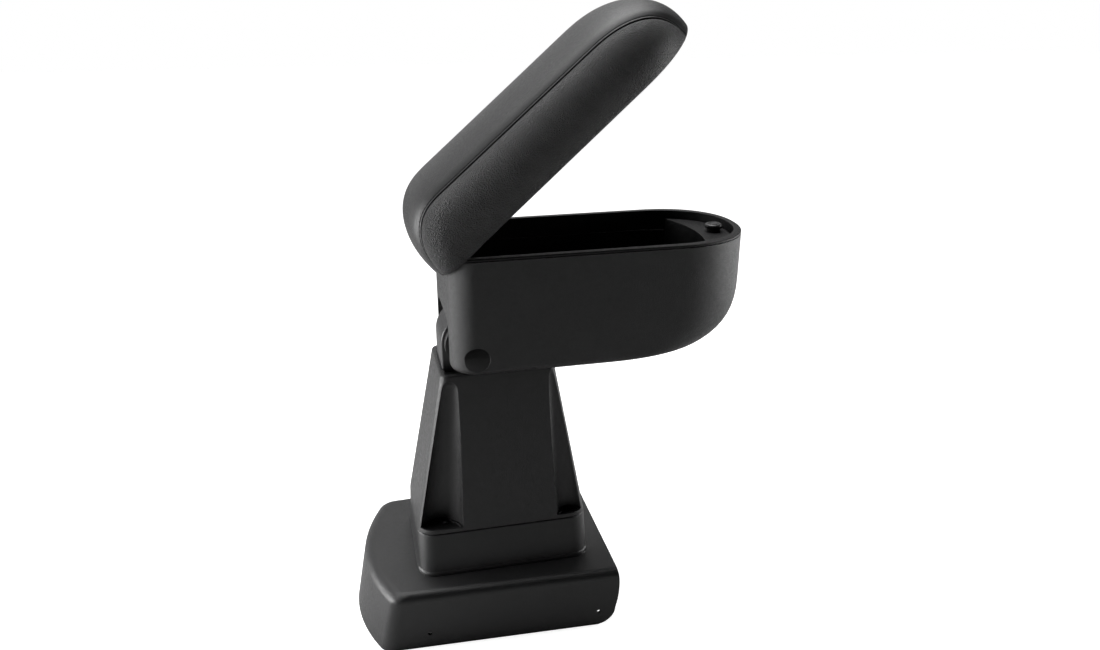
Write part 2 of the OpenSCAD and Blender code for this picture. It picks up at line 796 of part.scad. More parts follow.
// side view of the lid, inset by d
function lid_profile(s, d) = s < 1
  ? [lid_rear_u + rear_l - (rear_l - d) * soft(cos(90 * s), rear_power),
    (lid_t - d) * soft(sin(90 * s), rear_power)]
  : s < 2 ? [mix(lid_rear_u + rear_l, lid_tip_u - front_l, s - 1), mix(lid_t, lid_t - lid_drop, s - 1) - d]
  : [lid_tip_u - front_l + (front_l - d) * soft(sin(90 * (s - 2)), front_power),
    (lid_t - lid_drop - d) * soft(cos(90 * (s - 2)), front_power)];
function seam_half(s) = s < 1 ? mix(plan_half(lid_rear_u + rear_crown), seam_y, sin(90 * s))
  : s < 2 ? seam_y
  : mix(plan_half(lid_tip_u - nose_crown), seam_y, cos(90 * (s - 2)));
// point of the top panel, t from -1 to 1 across
function strip_point(s, t, d) = let (p = lid_profile(s, d + crown_at(s) * pow(abs(t), crown_power)))
  snap([p[0], seam_half(s) * t, p[1]]);
// foot of a side panel, on the underside of the lid
function foot_point(s, d) = let (
    u = s < 1 ? mix(lid_rear_u + rear_crown, lid_rear_u + rear_l, s)
      : s < 2 ? mix(lid_rear_u + rear_l, lid_tip_u - front_l, s - 1)
      : mix(lid_tip_u - front_l, lid_tip_u - nose_crown, s - 2),
    side = s < 1 ? s : s < 2 ? 1 : 3 - s
  ) [u + (s < 1 ? d * (1 - side) : -d * (1 - side)), plan_half(u) - d * side, 0];
// point of a side panel, q from 0 at the seam to 1 at the foot
function side_point(s, q, d, sy) = let (
    a = strip_point(s, 1, d),
    b = foot_point(s, d),
    bulge = sin(side_turn * q) / sin(side_turn)
  ) snap([mix(a[0], b[0], q), sy * mix(a[1], b[1], bulge), a[2] * (1 - q)]);
function strip_row(s, d) = [for (i = [0 : strip_steps]) strip_point(s, -1 + 2 * i / strip_steps, d)];
function side_row(s, d, sy) = [for (i = [0 : side_steps]) side_point(s, i / side_steps, d, sy)];
// whole section at one station: near side up, over the top, far side down
function section_row(s, d) = concat(
  reversed(side_row(s, d, -1)),
  [for (i = [1 : strip_steps - 1]) strip_point(s, -1 + 2 * i / strip_steps, d)],
  side_row(s, d, 1)
);

module at_lid() {
  at_hinge() rotate([0, -lid_open, 0]) children();
}
// a skin between two grids of points with the same rows and columns
module panel(outer, inner) {
  n = len(outer);
  m = len(outer[0]);
  k = n * m;
  polyhedron(
    points = concat([for (row = outer) for (p = row) p], [for (row = inner) for (p = row) p]),
    faces = concat(
      [for (i = [0 : n - 2]) for (j = [0 : m - 2]) for (f = [
        [i * m + j, (i + 1) * m + j, (i + 1) * m + j + 1], [i * m + j, (i + 1) * m + j + 1, i * m + j + 1],
        [k + i * m + j, k + (i + 1) * m + j + 1, k + (i + 1) * m + j],
        [k + i * m + j, k + i * m + j + 1, k + (i + 1) * m + j + 1]]) f],
      [for (i = [0 : n - 2]) for (f = [
        [i * m, k + i * m, k + (i + 1) * m], [i * m, k + (i + 1) * m, (i + 1) * m],
        [i * m + m - 1, (i + 2) * m - 1, k + (i + 2) * m - 1],
        [i * m + m - 1, k + (i + 2) * m - 1, k + i * m + m - 1]]) f],
      [for (j = [0 : m - 2]) for (f = [
        [j, j + 1, k + j + 1], [j, k + j + 1, k + j],
        [k - m + j, 2 * k - m + j, 2 * k - m + j + 1],
        [k - m + j, 2 * k - m + j + 1, k - m + j + 1]]) f]
    )
  );
}

// room behind the hinge that the rear of the bin needs while the lid opens
relief_r = 16;
relief_rear_u = -27.6;
relief_front_u = 5.5;
pan_t = 3;
function relief(grow) = concat(
  [[relief_front_u + grow, -over], [relief_front_u + grow, relief_r + grow]],
  arc(0, 0, relief_r + grow, 90, 125, 4),
  [[relief_rear_u - grow, 0], [relief_rear_u - grow, -over]]
);
module relief_cut(grow) {
  rotate([90, 0, 0]) linear_extrude(height = 3 * lid_half, center = true) polygon(relief(grow));
}
lid_screw_u = [40, lid_tip_u - plan_nose_l - 5];
lid_screw_y = 40;
lid_boss_h = 8;
buffer_u = [60, lid_tip_u - plan_nose_l - 15];
buffer_d = 5;
buffer_y = bin_w / 2 - flange_w / 2;
module lid_screw_places(w) {
  for (u = lid_screw_u) {
    mirror_y() translate([u, lid_screw_y, w]) children();
  }
}
module buffer_places(w) {
  for (u = buffer_u) {
    mirror_y() translate([u, buffer_y, w]) children();
  }
}
module lid_core(d) {
  skin([for (s = stations) reversed(section_row(s, d))]);
}
module lid_pan() {
  color("#151517")
  at_lid() {
    difference() {
      union() {
        difference() {
          intersection() {
            lid_core(cover_t + fit);
            union() {
              translate([0, -lid_half, -over]) cube([lid_tip_u, 2 * lid_half, pan_t + over]);
              relief_cut(pan_t);
            }
          }
          relief_cut(0);
        }
        lid_screw_places(pan_t - over) cylinder(r = 4, h = lid_boss_h + over);
        knuckles(lid_knuckle_ends, knuckle_r);
        for (e = lid_knuckle_ends) {
          translate([0, e[0], 0]) cube([relief_front_u + over, e[1] - e[0], knuckle_r]);
        }
      }
      lug(pin_d / 2 + pin_gap, 2 * lid_half);
      lid_screw_places(-over) cylinder(d = liner_screw_d, h = pan_t + lid_boss_h);
      buffer_places(-over) cylinder(d = buffer_d, h = pan_t / 2 + over);
    }
  }
}
module lid_foam() {
  color("#3b3a35")
  at_lid() {
    difference() {
      lid_core(cover_t + fit);
      translate([lid_rear_u, -lid_half, -over]) {
        cube([lid_tip_u - lid_rear_u, 2 * lid_half, pan_t + over]);
      }
      relief_cut(pan_t);
      lid_screw_places(0) cylinder(r = 4, h = pan_t + lid_boss_h);
    }
  }
}
module cover_top() {
  color("#161617")
  at_lid() {
    panel([for (s = reversed(stations)) strip_row(s, 0)],
      [for (s = reversed(stations)) strip_row(s, cover_t)]);
  }
}
module cover_near() {
  color("#141415")
  at_lid() {
    panel([for (s = stations) side_row(s, 0, -1)], [for (s = stations) side_row(s, cover_t, -1)]);
  }
}
module cover_far() {
  color("#141415")
  at_lid() {
    panel([for (s = reversed(stations)) side_row(s, 0, 1)],
      [for (s = reversed(stations)) side_row(s, cover_t, 1)]);
  }
}

// panel on the underside of the lid that drops inside the rim, with the catch socket for the stud
inner_t = 3;
inner_gap = 2.2;
socket_wall = 2;
socket_r = stud_d / 2 + turn + socket_wall;
module inner_plan() {
  difference() {
    translate([-hinge_x, 0, 0]) polygon(rim_plan(flange_w + inner_gap));
    translate([-lid_half, -lid_half]) square([lid_half + relief_front_u + 4, 2 * lid_half]);
  }
}
module lid_inner_panel() {
  color("#202022")
  at_lid() {
    difference() {
      translate([0, 0, -inner_t]) linear_extrude(height = inner_t) inner_plan();
      translate([stud_x - hinge_x, 0, -inner_t - over]) cylinder(r = socket_r, h = inner_t + 2 * over);
      lid_screw_places(-inner_t - over) cylinder(d = liner_screw_d + fit, h = inner_t + 2 * over);
    }
  }
}
module lid_socket() {
  color("#262628")
  at_lid() {
    translate([stud_x - hinge_x, 0, -inner_t]) {
      difference() {
        cylinder(r = socket_r, h = inner_t);
        translate([0, 0, -over]) cylinder(r = socket_r - socket_wall, h = inner_t + 2 * over);
        translate([0, 0, -over]) {
          cylinder(r1 = socket_r - socket_wall + 2 * over, r2 = socket_r - socket_wall, h = 2 * over);
        }
      }
    }
  }
}
module lid_screws() {
  color("#3a3a3c")
  at_lid() {
    lid_screw_places(-inner_t) {
      mirror([0, 0, 1]) pan_screw(liner_screw_d, inner_t + pan_t + lid_boss_h - 2 * over);
    }
  }
}
module lid_buffers() {
  color("#0f0f10")
  at_lid() buffer_places(fit - turn) cylinder(d = buffer_d, h = pan_t / 2 + turn - fit);
}

base_shell();
column_shell();
column_screws();
hinge_head();
head_plate();
head_screws();
bin_shell();
bin_liner();
liner_screws();
tilt_bolt();
tilt_nut();
tilt_washers();
friction_discs();
tilt_bushes();
latch_block();
latch_stud();
latch_screws();
hinge_leaf();
leaf_screws();
lid_pan();
lid_foam();
cover_top();
cover_near();
cover_far();
lid_inner_panel();
lid_hinge_pin();
lid_socket();
lid_screws();
lid_buffers();
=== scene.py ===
import bpy
import bmesh
import json
import math
from mathutils import Vector, Matrix


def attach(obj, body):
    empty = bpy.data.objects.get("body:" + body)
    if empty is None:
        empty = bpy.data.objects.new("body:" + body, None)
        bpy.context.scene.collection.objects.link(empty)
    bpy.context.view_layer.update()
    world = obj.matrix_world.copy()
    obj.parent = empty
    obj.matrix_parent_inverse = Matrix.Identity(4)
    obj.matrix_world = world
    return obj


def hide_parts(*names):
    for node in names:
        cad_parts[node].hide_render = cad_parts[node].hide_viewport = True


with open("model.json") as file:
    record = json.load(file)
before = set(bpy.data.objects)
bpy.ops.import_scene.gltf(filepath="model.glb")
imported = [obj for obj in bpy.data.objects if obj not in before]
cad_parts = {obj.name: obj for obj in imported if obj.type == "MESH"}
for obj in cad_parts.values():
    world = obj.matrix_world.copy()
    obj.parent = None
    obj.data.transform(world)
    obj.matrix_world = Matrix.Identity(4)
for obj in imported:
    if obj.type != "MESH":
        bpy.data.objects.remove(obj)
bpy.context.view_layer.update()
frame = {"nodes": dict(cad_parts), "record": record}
scene = bpy.context.scene

# ---------------------------------------------------------------- camera
CAM_POS = (-0.1245, -0.7820, 0.6075)
CAM_PITCH = 21.52
CAM_YAW = 13.18
CAM_LENS, CAM_SENSOR = 29.09, 36.0
cam_data = bpy.data.cameras.new("camera")
cam_data.sensor_width = CAM_SENSOR
cam_data.lens = CAM_LENS
cam_data.clip_start = 0.01
camera = bpy.data.objects.new("camera", cam_data)
camera.location = CAM_POS
camera.rotation_euler = (math.radians(90 - CAM_PITCH), 0, math.radians(-CAM_YAW))
scene.collection.objects.link(camera)
scene.camera = camera


# ---------------------------------------------------------------- materials
BEVEL = 0.0008  # how far the light rounds the edges of a moulding, in metres
ROUGH_VARY = 0.08


def math_node(nt, operation, *values):
    """A math node; each value is a number or the output of another node."""
    n = nt.nodes.new("ShaderNodeMath")
    n.operation = operation
    for socket, value in zip(n.inputs, values):
        if isinstance(value, (int, float)):
            socket.default_value = value
        else:
            nt.links.new(value, socket)
    return n.outputs["Value"]


def material(name, base, rough, spec=0.5, grain=0.0, grain_size=0.0004, bump=0.0, mottle=0.0,
             cells=0.0, cell_size=0.0012, metal=0.0, streak=0.0, edge=0.0, depth=0.0004):
    """Moulded plastic, leather or metal: fine grain and cell bump, mottled colour and roughness."""
    m = bpy.data.materials.new(name)
    m.use_nodes = True
    nt = m.node_tree
    bsdf = nt.nodes["Principled BSDF"]
    bsdf.inputs["Metallic"].default_value = metal
    bsdf.inputs["Specular IOR Level"].default_value = spec
    co = nt.nodes.new("ShaderNodeTexCoord")

    def noise_node(size, detail=3.0, rough_n=0.55, vector=None):
        n = nt.nodes.new("ShaderNodeTexNoise")
        n.inputs["Scale"].default_value = 1.0 / size
        n.inputs["Detail"].default_value = detail
        n.inputs["Roughness"].default_value = rough_n
        nt.links.new(vector or co.outputs["Object"], n.inputs["Vector"])
        return n.outputs["Fac"]

    def ramp(fac, lo, hi, a=0.3, b=0.7):
        r = nt.nodes.new("ShaderNodeMapRange")
        r.inputs["From Min"].default_value = a
        r.inputs["From Max"].default_value = b
        r.inputs["To Min"].default_value = lo
        r.inputs["To Max"].default_value = hi
        nt.links.new(fac, r.inputs["Value"])
        return r.outputs["Result"]

    # colour: broad mottle
    broad = noise_node(0.035, 4.0)
    mix = nt.nodes.new("ShaderNodeMix")
    mix.data_type = "RGBA"
    dark = tuple(c * (1 - mottle) for c in base)
    light = tuple(c * (1 + mottle) for c in base)
    mix.inputs["A"].default_value = (*dark, 1)
    mix.inputs["B"].default_value = (*light, 1)
    nt.links.new(broad, mix.inputs["Factor"])
    nt.links.new(mix.outputs["Result"], bsdf.inputs["Base Color"])
    # roughness: fine and broad variation
    fine = noise_node(max(grain_size * 6, 0.002), 5.0)
    nt.links.new(ramp(fine, rough - ROUGH_VARY, rough + ROUGH_VARY), bsdf.inputs["Roughness"])
    # bump
    height = None
    if grain:
        height = noise_node(grain_size, 2.0, 0.6)
        height = ramp(height, 0, grain, 0.35, 0.65)
    if streak:
        mp = nt.nodes.new("ShaderNodeMapping")
        mp.inputs["Scale"].default_value = (1, 40, 1)
        nt.links.new(co.outputs["Object"], mp.inputs["Vector"])
        lines = ramp(noise_node(0.01, 3.0, 0.6, mp.outputs["Vector"]), 0, streak)
        height = lines if height is None else math_node(nt, "ADD", height, lines)
    if cells:
        pebbles = nt.nodes.new("ShaderNodeTexVoronoi")
        pebbles.feature = "SMOOTH_F1"
        pebbles.inputs["Smoothness"].default_value = 0.3
        pebbles.inputs["Scale"].default_value = 1.0 / cell_size
        pebbles.inputs["Randomness"].default_value = 0.9
        warp = nt.nodes.new("ShaderNodeTexNoise")
        warp.inputs["Scale"].default_value = 0.6 / cell_size
        nt.links.new(co.outputs["Object"], warp.inputs["Vector"])
        warped = nt.nodes.new("ShaderNodeVectorMath")
        warped.operation = "MULTIPLY_ADD"
        warped.inputs[1].default_value = (cell_size * 0.25,) * 3
        nt.links.new(warp.outputs["Color"], warped.inputs[0])
        nt.links.new(co.outputs["Object"], warped.inputs[2])
        nt.links.new(warped.outputs["Vector"], pebbles.inputs["Vector"])
        domes = ramp(pebbles.outputs["Distance"], cells, 0, 0.1, 0.6)
        height = domes if height is None else math_node(nt, "ADD", height, domes)
    bevel = None
    if edge:
        bevel = nt.nodes.new("ShaderNodeBevel")
        bevel.samples = 6
        bevel.inputs["Radius"].default_value = edge
        nt.links.new(bevel.outputs["Normal"], bsdf.inputs["Normal"])
    if height is not None:
        b = nt.nodes.new("ShaderNodeBump")
        b.inputs["Strength"].default_value = bump
        b.inputs["Distance"].default_value = depth
        nt.links.new(height, b.inputs["Height"])
        if bevel:
            nt.links.new(bevel.outputs["Normal"], b.inputs["Normal"])
        nt.links.new(b.outputs["Normal"], bsdf.inputs["Normal"])
    return m


MOULDED = {"mottle": 0.2, "edge": BEVEL}
LOOKS = {
    "base_plastic": ((0.012, 0.012, 0.0126), 0.36, 0.55,
                     {"grain": 0.6, "grain_size": 0.0005, "bump": 0.35, "mottle": 0.25, "edge": BEVEL}),
    "column_plastic": ((0.012, 0.012, 0.0126), 0.4, 0.55,
                       {"grain": 0.7, "grain_size": 0.0006, "bump": 0.4, "mottle": 0.25, "edge": BEVEL}),
    "head_plastic": ((0.022, 0.022, 0.023), 0.4, 0.5, {"grain": 0.3, "bump": 0.2, **MOULDED}),
    "bin_plastic": ((0.0115, 0.0115, 0.012), 0.46, 0.5,
                    {"grain": 0.9, "grain_size": 0.0005, "bump": 0.5, "mottle": 0.3, "edge": BEVEL}),
    # liner is darker than bin_plastic: painted shade for the inside of the bin
    "liner_plastic": ((0.005, 0.005, 0.0053), 0.5, 0.3, {"grain": 0.6, "bump": 0.4, **MOULDED}),
    "pan_plastic": ((0.014, 0.014, 0.015), 0.5, 0.5, {"grain": 0.6, "bump": 0.4, **MOULDED}),
    "stud_plastic": ((0.02, 0.02, 0.021), 0.35, 0.5, {"grain": 0.3, "bump": 0.2, **MOULDED}),
    "disc_plastic": ((0.03, 0.03, 0.031), 0.4, 0.5, {"grain": 0.3, "bump": 0.2, **MOULDED}),
    "black_steel": ((0.03, 0.03, 0.032), 0.35, 0.6, {"grain": 0.4, "bump": 0.2, "mottle": 0.3, "metal": 0.8}),
    "plate_steel": ((0.5, 0.5, 0.51), 0.32, 0.5, {"streak": 0.5, "bump": 0.3, "mottle": 0.15, "metal": 1.0}),
    "leaf_steel": ((0.02, 0.02, 0.022), 0.35, 0.5, {"grain": 0.3, "bump": 0.3, "mottle": 0.2, "metal": 0.6}),
    # bolt is near black and not metallic: painted shade, so its head reads as dark as the recess around it
    "bolt_steel": ((0.003, 0.003, 0.0032), 0.55, 0.15, {"streak": 0.3, "bump": 0.3, "mottle": 0.15}),
    "lid_padding": ((0.1, 0.1, 0.09), 0.9, 0.2, {"grain": 1.0, "bump": 0.8, "mottle": 0.3}),
    "cover_smooth": ((0.0125, 0.0125, 0.013), 0.43, 0.45,
                     {"grain": 0.5, "cells": 0.6, "cell_size": 0.0012, "bump": 0.35, "mottle": 0.3}),
    "cover_grained": ((0.0085, 0.0085, 0.009), 0.4, 0.45,
                      {"grain": 0.4, "cells": 1.0, "cell_size": 0.0014, "bump": 1.0, "mottle": 0.3,
                       "depth": 0.0005}),
    # near-black cover: painted shade for the seam's crack and the valley under the stitches, not a colour of the
    # leather
    "cover_painted_shade": ((0.0015, 0.0015, 0.0016), 0.8, 0.1, {"grain": 0.5, "bump": 0.3, "mottle": 0.2}),
    "thread": ((0.003, 0.003, 0.0032), 0.7, 0.15,
               {"grain": 0.8, "grain_size": 0.0003, "bump": 0.5, "mottle": 0.2}),
    "buffer_rubber": ((0.012, 0.012, 0.012), 0.6, 0.4, {"grain": 0.6, "bump": 0.4, "mottle": 0.2}),
}
MAT = {name: material(name, colour, rough, spec, **more) for name, (colour, rough, spec, more) in LOOKS.items()}
slots = {s["node"]: s["material_slot"] for s in frame["record"]["subparts"]}
for name, obj in frame["nodes"].items():
    obj.data.materials.clear()
    obj.data.materials.append(MAT[slots[name]])


# ---------------------------------------------------------------- geometry helpers
def mesh_object(name, verts, faces, mats=(), face_mats=None):
    me = bpy.data.meshes.new(name)
    me.from_pydata([tuple(v) for v in verts], [], faces)
    me.update()
    for m in mats:
        me.materials.append(MAT[m])
    if face_mats:
        me.polygons.foreach_set("material_index", face_mats)
    me.polygons.foreach_set("use_smooth", [True] * len(me.polygons))
    o = bpy.data.objects.new(name, me)
    scene.collection.objects.link(o)
    return o


def apply_all(o):
    """Bakes the modifiers of an object into its mesh."""
    dg = bpy.context.evaluated_depsgraph_get()
    me = bpy.data.meshes.new_from_object(o.evaluated_get(dg))
    old = o.data
    o.modifiers.clear()
    o.data = me
    bpy.data.meshes.remove(old)
    return o


def mix(a, b, t):
    return a + (b - a) * t


def soft(x, power):
    """Turns a sine or cosine into the coordinate of a superellipse of the given power."""
    return 0.0 if x <= 0 else x ** (2.0 / power)


def sind(a):
    return math.sin(math.radians(a))


def cosd(a):
    return math.cos(math.radians(a))


# ---------------------------------------------------------------- lid cushion (millimetres, u v w of the lid)
# A station s runs along the lid: 0 to 1 up the rear, 1 to 2 along the top, 2 to 3 down the nose.
# On the top panel t runs from seam to seam (-1 to 1), on a side panel q from the seam (0) to the foot (1).
HINGE = (-29.5, 0.0, 383.5)
LID_OPEN = 41.8
LID_T, REAR_U, TIP_U, LID_HALF = 63.8, -33.1, 277.4, 69.0
REAR_L, REAR_P, FRONT_L, FRONT_P = 55.0, 2.4, 80.0, 2.3
# fall of the top to the nose, and how far the top panel bows down to its seams
LID_DROP, REAR_CROWN, CROWN, NOSE_CROWN, CROWN_P = 2.5, 7.4, 9.6, 15.0, 2.5
PLAN_NOSE, NOSE_P, SEAM_Y = 73.0, 2.2, 54.0
# rear corners in plan: where they start, how far they draw in and how late
REAR_PLAN_U, REAR_PLAN_IN, REAR_PLAN_P = 5, 16, 3
# section of a side panel: turns of its width and height, share of the round shoulder, swelling at mid height
SIDE_TURN, DROP_TURN, SHOULDER, PUFF, PUFF_H = 105.0, 115, 0.95, 3.0, 40


def plan_half(u):
    """Half width of the lid in plan at u."""
    if u < REAR_PLAN_U:
        share = (REAR_PLAN_U - u) / (REAR_PLAN_U - REAR_U - REAR_CROWN)
        return LID_HALF - REAR_PLAN_IN * share ** REAR_PLAN_P
    c = TIP_U - PLAN_NOSE
    if u < c:
        return LID_HALF
    return LID_HALF * soft(math.sqrt(max(0.0, 1 - ((u - c) / PLAN_NOSE) ** NOSE_P)), NOSE_P)


def lid_profile(s, d):
    """Side view of the lid as u and w, inset by d."""
    if s < 1:
        return (REAR_U + REAR_L - (REAR_L - d) * soft(cosd(90 * s), REAR_P),
                (LID_T - d) * soft(sind(90 * s), REAR_P))
    if s < 2:
        return (mix(REAR_U + REAR_L, TIP_U - FRONT_L, s - 1), mix(LID_T, LID_T - LID_DROP, s - 1) - d)
    return (TIP_U - FRONT_L + (FRONT_L - d) * soft(sind(90 * (s - 2)), FRONT_P),
            (LID_T - LID_DROP - d) * soft(cosd(90 * (s - 2)), FRONT_P))


def crown_at(s):
    return mix(REAR_CROWN, CROWN, s) if s < 1 else CROWN if s < 2 else mix(CROWN, NOSE_CROWN, s - 2)


def seam_half(s):
    """Half the distance between the two seams."""
    if s < 1:
        return mix(plan_half(REAR_U + REAR_CROWN), SEAM_Y, sind(90 * s))
    if s < 2:
        return SEAM_Y
    return mix(plan_half(TIP_U - NOSE_CROWN), SEAM_Y, cosd(90 * (s - 2)))


def strip_point(s, t):
    """A point of the top panel."""
    p = lid_profile(s, crown_at(s) * abs(t) ** CROWN_P)
    return Vector((p[0], seam_half(s) * t, p[1]))


def foot_point(s):
    """Where a side panel ends at the pan."""
    if s < 1:
        u = mix(REAR_U + REAR_CROWN, REAR_U + REAR_L, s)
    elif s < 2:
        u = mix(REAR_U + REAR_L, TIP_U - FRONT_L, s - 1)
    else:
        u = mix(TIP_U - FRONT_L, TIP_U - NOSE_CROWN, s - 2)
    return Vector((u, plan_half(u), 0))


def side_point(s, q, sy):
    """A point of the side panel on side sy."""
    a, b = strip_point(s, 1), foot_point(s)
    bulge = sind(SIDE_TURN * q) / sind(SIDE_TURN)
    fall = mix(q, (1 - cosd(DROP_TURN * q)) / (1 - cosd(DROP_TURN)), SHOULDER)
    puff = PUFF * sind(180 * q) * min(1, a.z / PUFF_H)
    return Vector((mix(a.x, b.x, q), sy * (mix(a.y, b.y, bulge) + puff), a.z * (1 - fall)))


LID_M = (Matrix.Translation(Vector(HINGE) / 1000) @ Matrix.Rotation(math.radians(-LID_OPEN), 4, "Y")
         @ Matrix.Scale(0.001, 4))


def lid_stations(n_rear, n_top, n_nose):
    return ([i / n_rear for i in range(n_rear)] + [1 + i / n_top for i in range(n_top)]
            + [2 + i / n_nose for i in range(n_nose + 1)])


# Columns beside a seam on the top panel: distance from it and how deep the cover lies there, in millimetres.
# On the side panels the first value is q.
STITCH_LINE, STITCH_BED = 3.4, 2.1
STRIP_BED = ((0.6, 2.5), (1.3, 1.8), (2.0, 1.55), (2.6, 1.65), (3.05, 1.85), (STITCH_LINE, STITCH_BED),
             (3.75, 1.85), (4.4, 1.5), (5.4, 1.15), (6.8, 0.65), (8.4, 0.25), (10.5, 0))
SIDE_BED = ((0.014, 2.3), (0.03, 1.7), (0.055, 1.1), (0.1, 0.5), (0.16, 0.15))
SEAM_DEPTH = 3.6
PAINTED_SHADE_COLUMNS = (0, 1, 4, 5, 6)  # columns of the top panel, counted from the seam, whose faces are coloured near black: painted shade in the seam's crack and in the valley under the stitches
SIDE_Q = [0] + [q for q, d in SIDE_BED] + [0.26, 0.36, 0.47, 0.58, 0.69, 0.8, 0.9, 0.96, 1.0]
HALF_T = [1 - d / SEAM_Y for d, w in STRIP_BED] + [0.72, 0.62, 0.52, 0.36, 0.18]
STRIP_T = [-1] + [-t for t in HALF_T] + [0] + HALF_T[::-1] + [1]
SEAM_NEAR, SEAM_FAR = len(SIDE_Q) - 1, len(SIDE_Q) + len(STRIP_T) - 2


def lid_section(s):
    """One section of the cover from the near foot over the top to the far foot."""
    pts = [side_point(s, q, -1) for q in reversed(SIDE_Q)]
    pts += [strip_point(s, t) for t in STRIP_T[1:]]
    pts += [side_point(s, q, 1) for q in SIDE_Q[1:]]
    return pts


CLOTH_FRAMES, CLOTH_PRESSURE, CLOTH_CAP = 20, 3.0, 0.0025


def inflate(o, held):
    """Short cloth run: the cover puffs under pressure between its held seams and hems, by CLOTH_CAP at most."""
    group = o.vertex_groups.new(name="held")
    group.add(held, 1.0, "REPLACE")
    before = [v.co.copy() for v in o.data.vertices]
    mod = o.modifiers.new("cloth", "CLOTH")
    cs = mod.settings
    cs.quality = 6
    cs.mass = 0.4
    cs.tension_stiffness = cs.compression_stiffness = 25
    cs.shear_stiffness = 15
    cs.bending_stiffness = 6
    cs.use_pressure = True
    cs.uniform_pressure_force = CLOTH_PRESSURE
    cs.vertex_group_mass = "held"
    cs.effector_weights.gravity = 0
    mod.collision_settings.use_collision = False
    mod.collision_settings.use_self_collision = False
    mod.point_cache.frame_start = 1
    mod.point_cache.frame_end = CLOTH_FRAMES
    for f in range(1, CLOTH_FRAMES + 1):
        scene.frame_set(f)
    dg = bpy.context.evaluated_depsgraph_get()
    new = [v.co.copy() for v in o.evaluated_get(dg).data.vertices]
    o.modifiers.clear()
    scene.frame_set(1)
    for v, a, b in zip(o.data.vertices, before, new):
        d = b - a
        if d.length > CLOTH_CAP:
            d *= CLOTH_CAP / d.length
        v.co = a + d


def seam_beds(verts, n_rows, m):
    """How deep the cover lies at each vertex beside a seam, keyed by its rounded place."""
    bed = {0: SEAM_DEPTH}
    for k, (d, w) in enumerate(STRIP_BED):
        bed[k + 1] = w
    for k, (q, w) in enumerate(SIDE_BED):
        bed[-k - 1] = w
    depth_at = {}
    for i in range(n_rows):
        for k, w in bed.items():
            for j in (SEAM_NEAR + k, SEAM_FAR - k):
                depth_at[place_key(verts[i * m + j])] = w
    return depth_at


def place_key(p):
    return tuple(round(c * 1e5) for c in p)


def cover_mesh():
    """The closed cover from foot to foot, with its panels' materials, near-black painted shade beside the seams,
    and the beds beside the seams.
    """
    rows = [lid_section(s) for s in lid_stations(12, 26, 16)]
    m = len(rows[0])
    verts, faces, panel = [], [], []
    for row in rows:
        verts += [p / 1000 for p in row]
    for i in range(len(rows) - 1):
        for j in range(m - 1):
            faces.append((i * m + j, i * m + j + 1, (i + 1) * m + j + 1, (i + 1) * m + j))
            in_strip = SEAM_NEAR <= j < SEAM_FAR
            # faces in these columns take the third, near-black material: painted shade
            painted_shade = in_strip and min(j - SEAM_NEAR, SEAM_FAR - 1 - j) in PAINTED_SHADE_COLUMNS
            panel.append(2 if painted_shade else 0 if in_strip else 1)
    o = mesh_object("lid_cushion", verts, faces, ("cover_smooth", "cover_grained", "cover_painted_shade"), panel)
    bm = bmesh.new()
    bm.from_mesh(o.data)
    bmesh.ops.remove_doubles(bm, verts=bm.verts, dist=0.00005)
    bmesh.ops.dissolve_degenerate(bm, edges=bm.edges, dist=0.00001)
    bm.normal_update()
    if sum(f.normal.z * f.calc_area() for f in bm.faces) < 0:
        bmesh.ops.reverse_faces(bm, faces=bm.faces)
    bm.to_mesh(o.data)
    bm.free()
    return o, seam_beds(verts, len(rows), m)


# hem: distance that it turns in and its height, in metres, from the foot of the cover to its end
HEM = ((0.0, 0.0007), (0.0009, -0.0002), (0.0035, -0.0003))
# it is slim behind HEM_U, where it passes outside the bin, and widens with HEM_RISE before it
HEM_SLIM, HEM_U, HEM_RISE = 0.0005, 0.012, 0.15
HEM_AIM = (0.03, 0.2)  # part of the lid's middle line that the hem turns towards


def turn_hem(bm):
    """Turns the foot of the cover in under the edge of the pan."""
    edges = [e for e in bm.edges if e.is_boundary]
    inward = {}
    for e in edges:
        d = e.verts[1].co - e.verts[0].co
        n = Vector((d.y, -d.x, 0)).normalized()
        for v in e.verts:
            aim = Vector((min(max(v.co.x, HEM_AIM[0]), HEM_AIM[1]) - v.co.x, -v.co.y, 0))
            inward.setdefault(v, []).append(n if n.dot(aim) > 0 else -n)
    for v in inward:
        v.co.z = HEM[0][1]
    start = {v: v.co.copy() for v in inward}
    for step, (dist, w) in enumerate(HEM[1:]):
        r = bmesh.ops.extrude_edge_only(bm, edges=edges)
        new_edges = [g for g in r["geom"] if isinstance(g, bmesh.types.BMEdge)]
        new_verts = [g for g in r["geom"] if isinstance(g, bmesh.types.BMVert)]
        place, turn = {}, {}
        for nv in new_verts:
            old = min(start, key=lambda v: (start[v].xy - nv.co.xy).length if step == 0 else (v.co - nv.co).length)
            place[nv], turn[nv] = start[old], inward[old]
        for nv, p in place.items():
            reach = min(dist, HEM_SLIM + HEM_RISE * max(0, p.x - HEM_U))
            nv.co = Vector((p.x, p.y, 0)) + sum(turn[nv], Vector()).normalized() * reach
            nv.co.z = w
        start, inward = place, turn
        edges = [e for e in new_edges if e.is_boundary]
    bmesh.ops.recalc_face_normals(bm, faces=bm.faces)


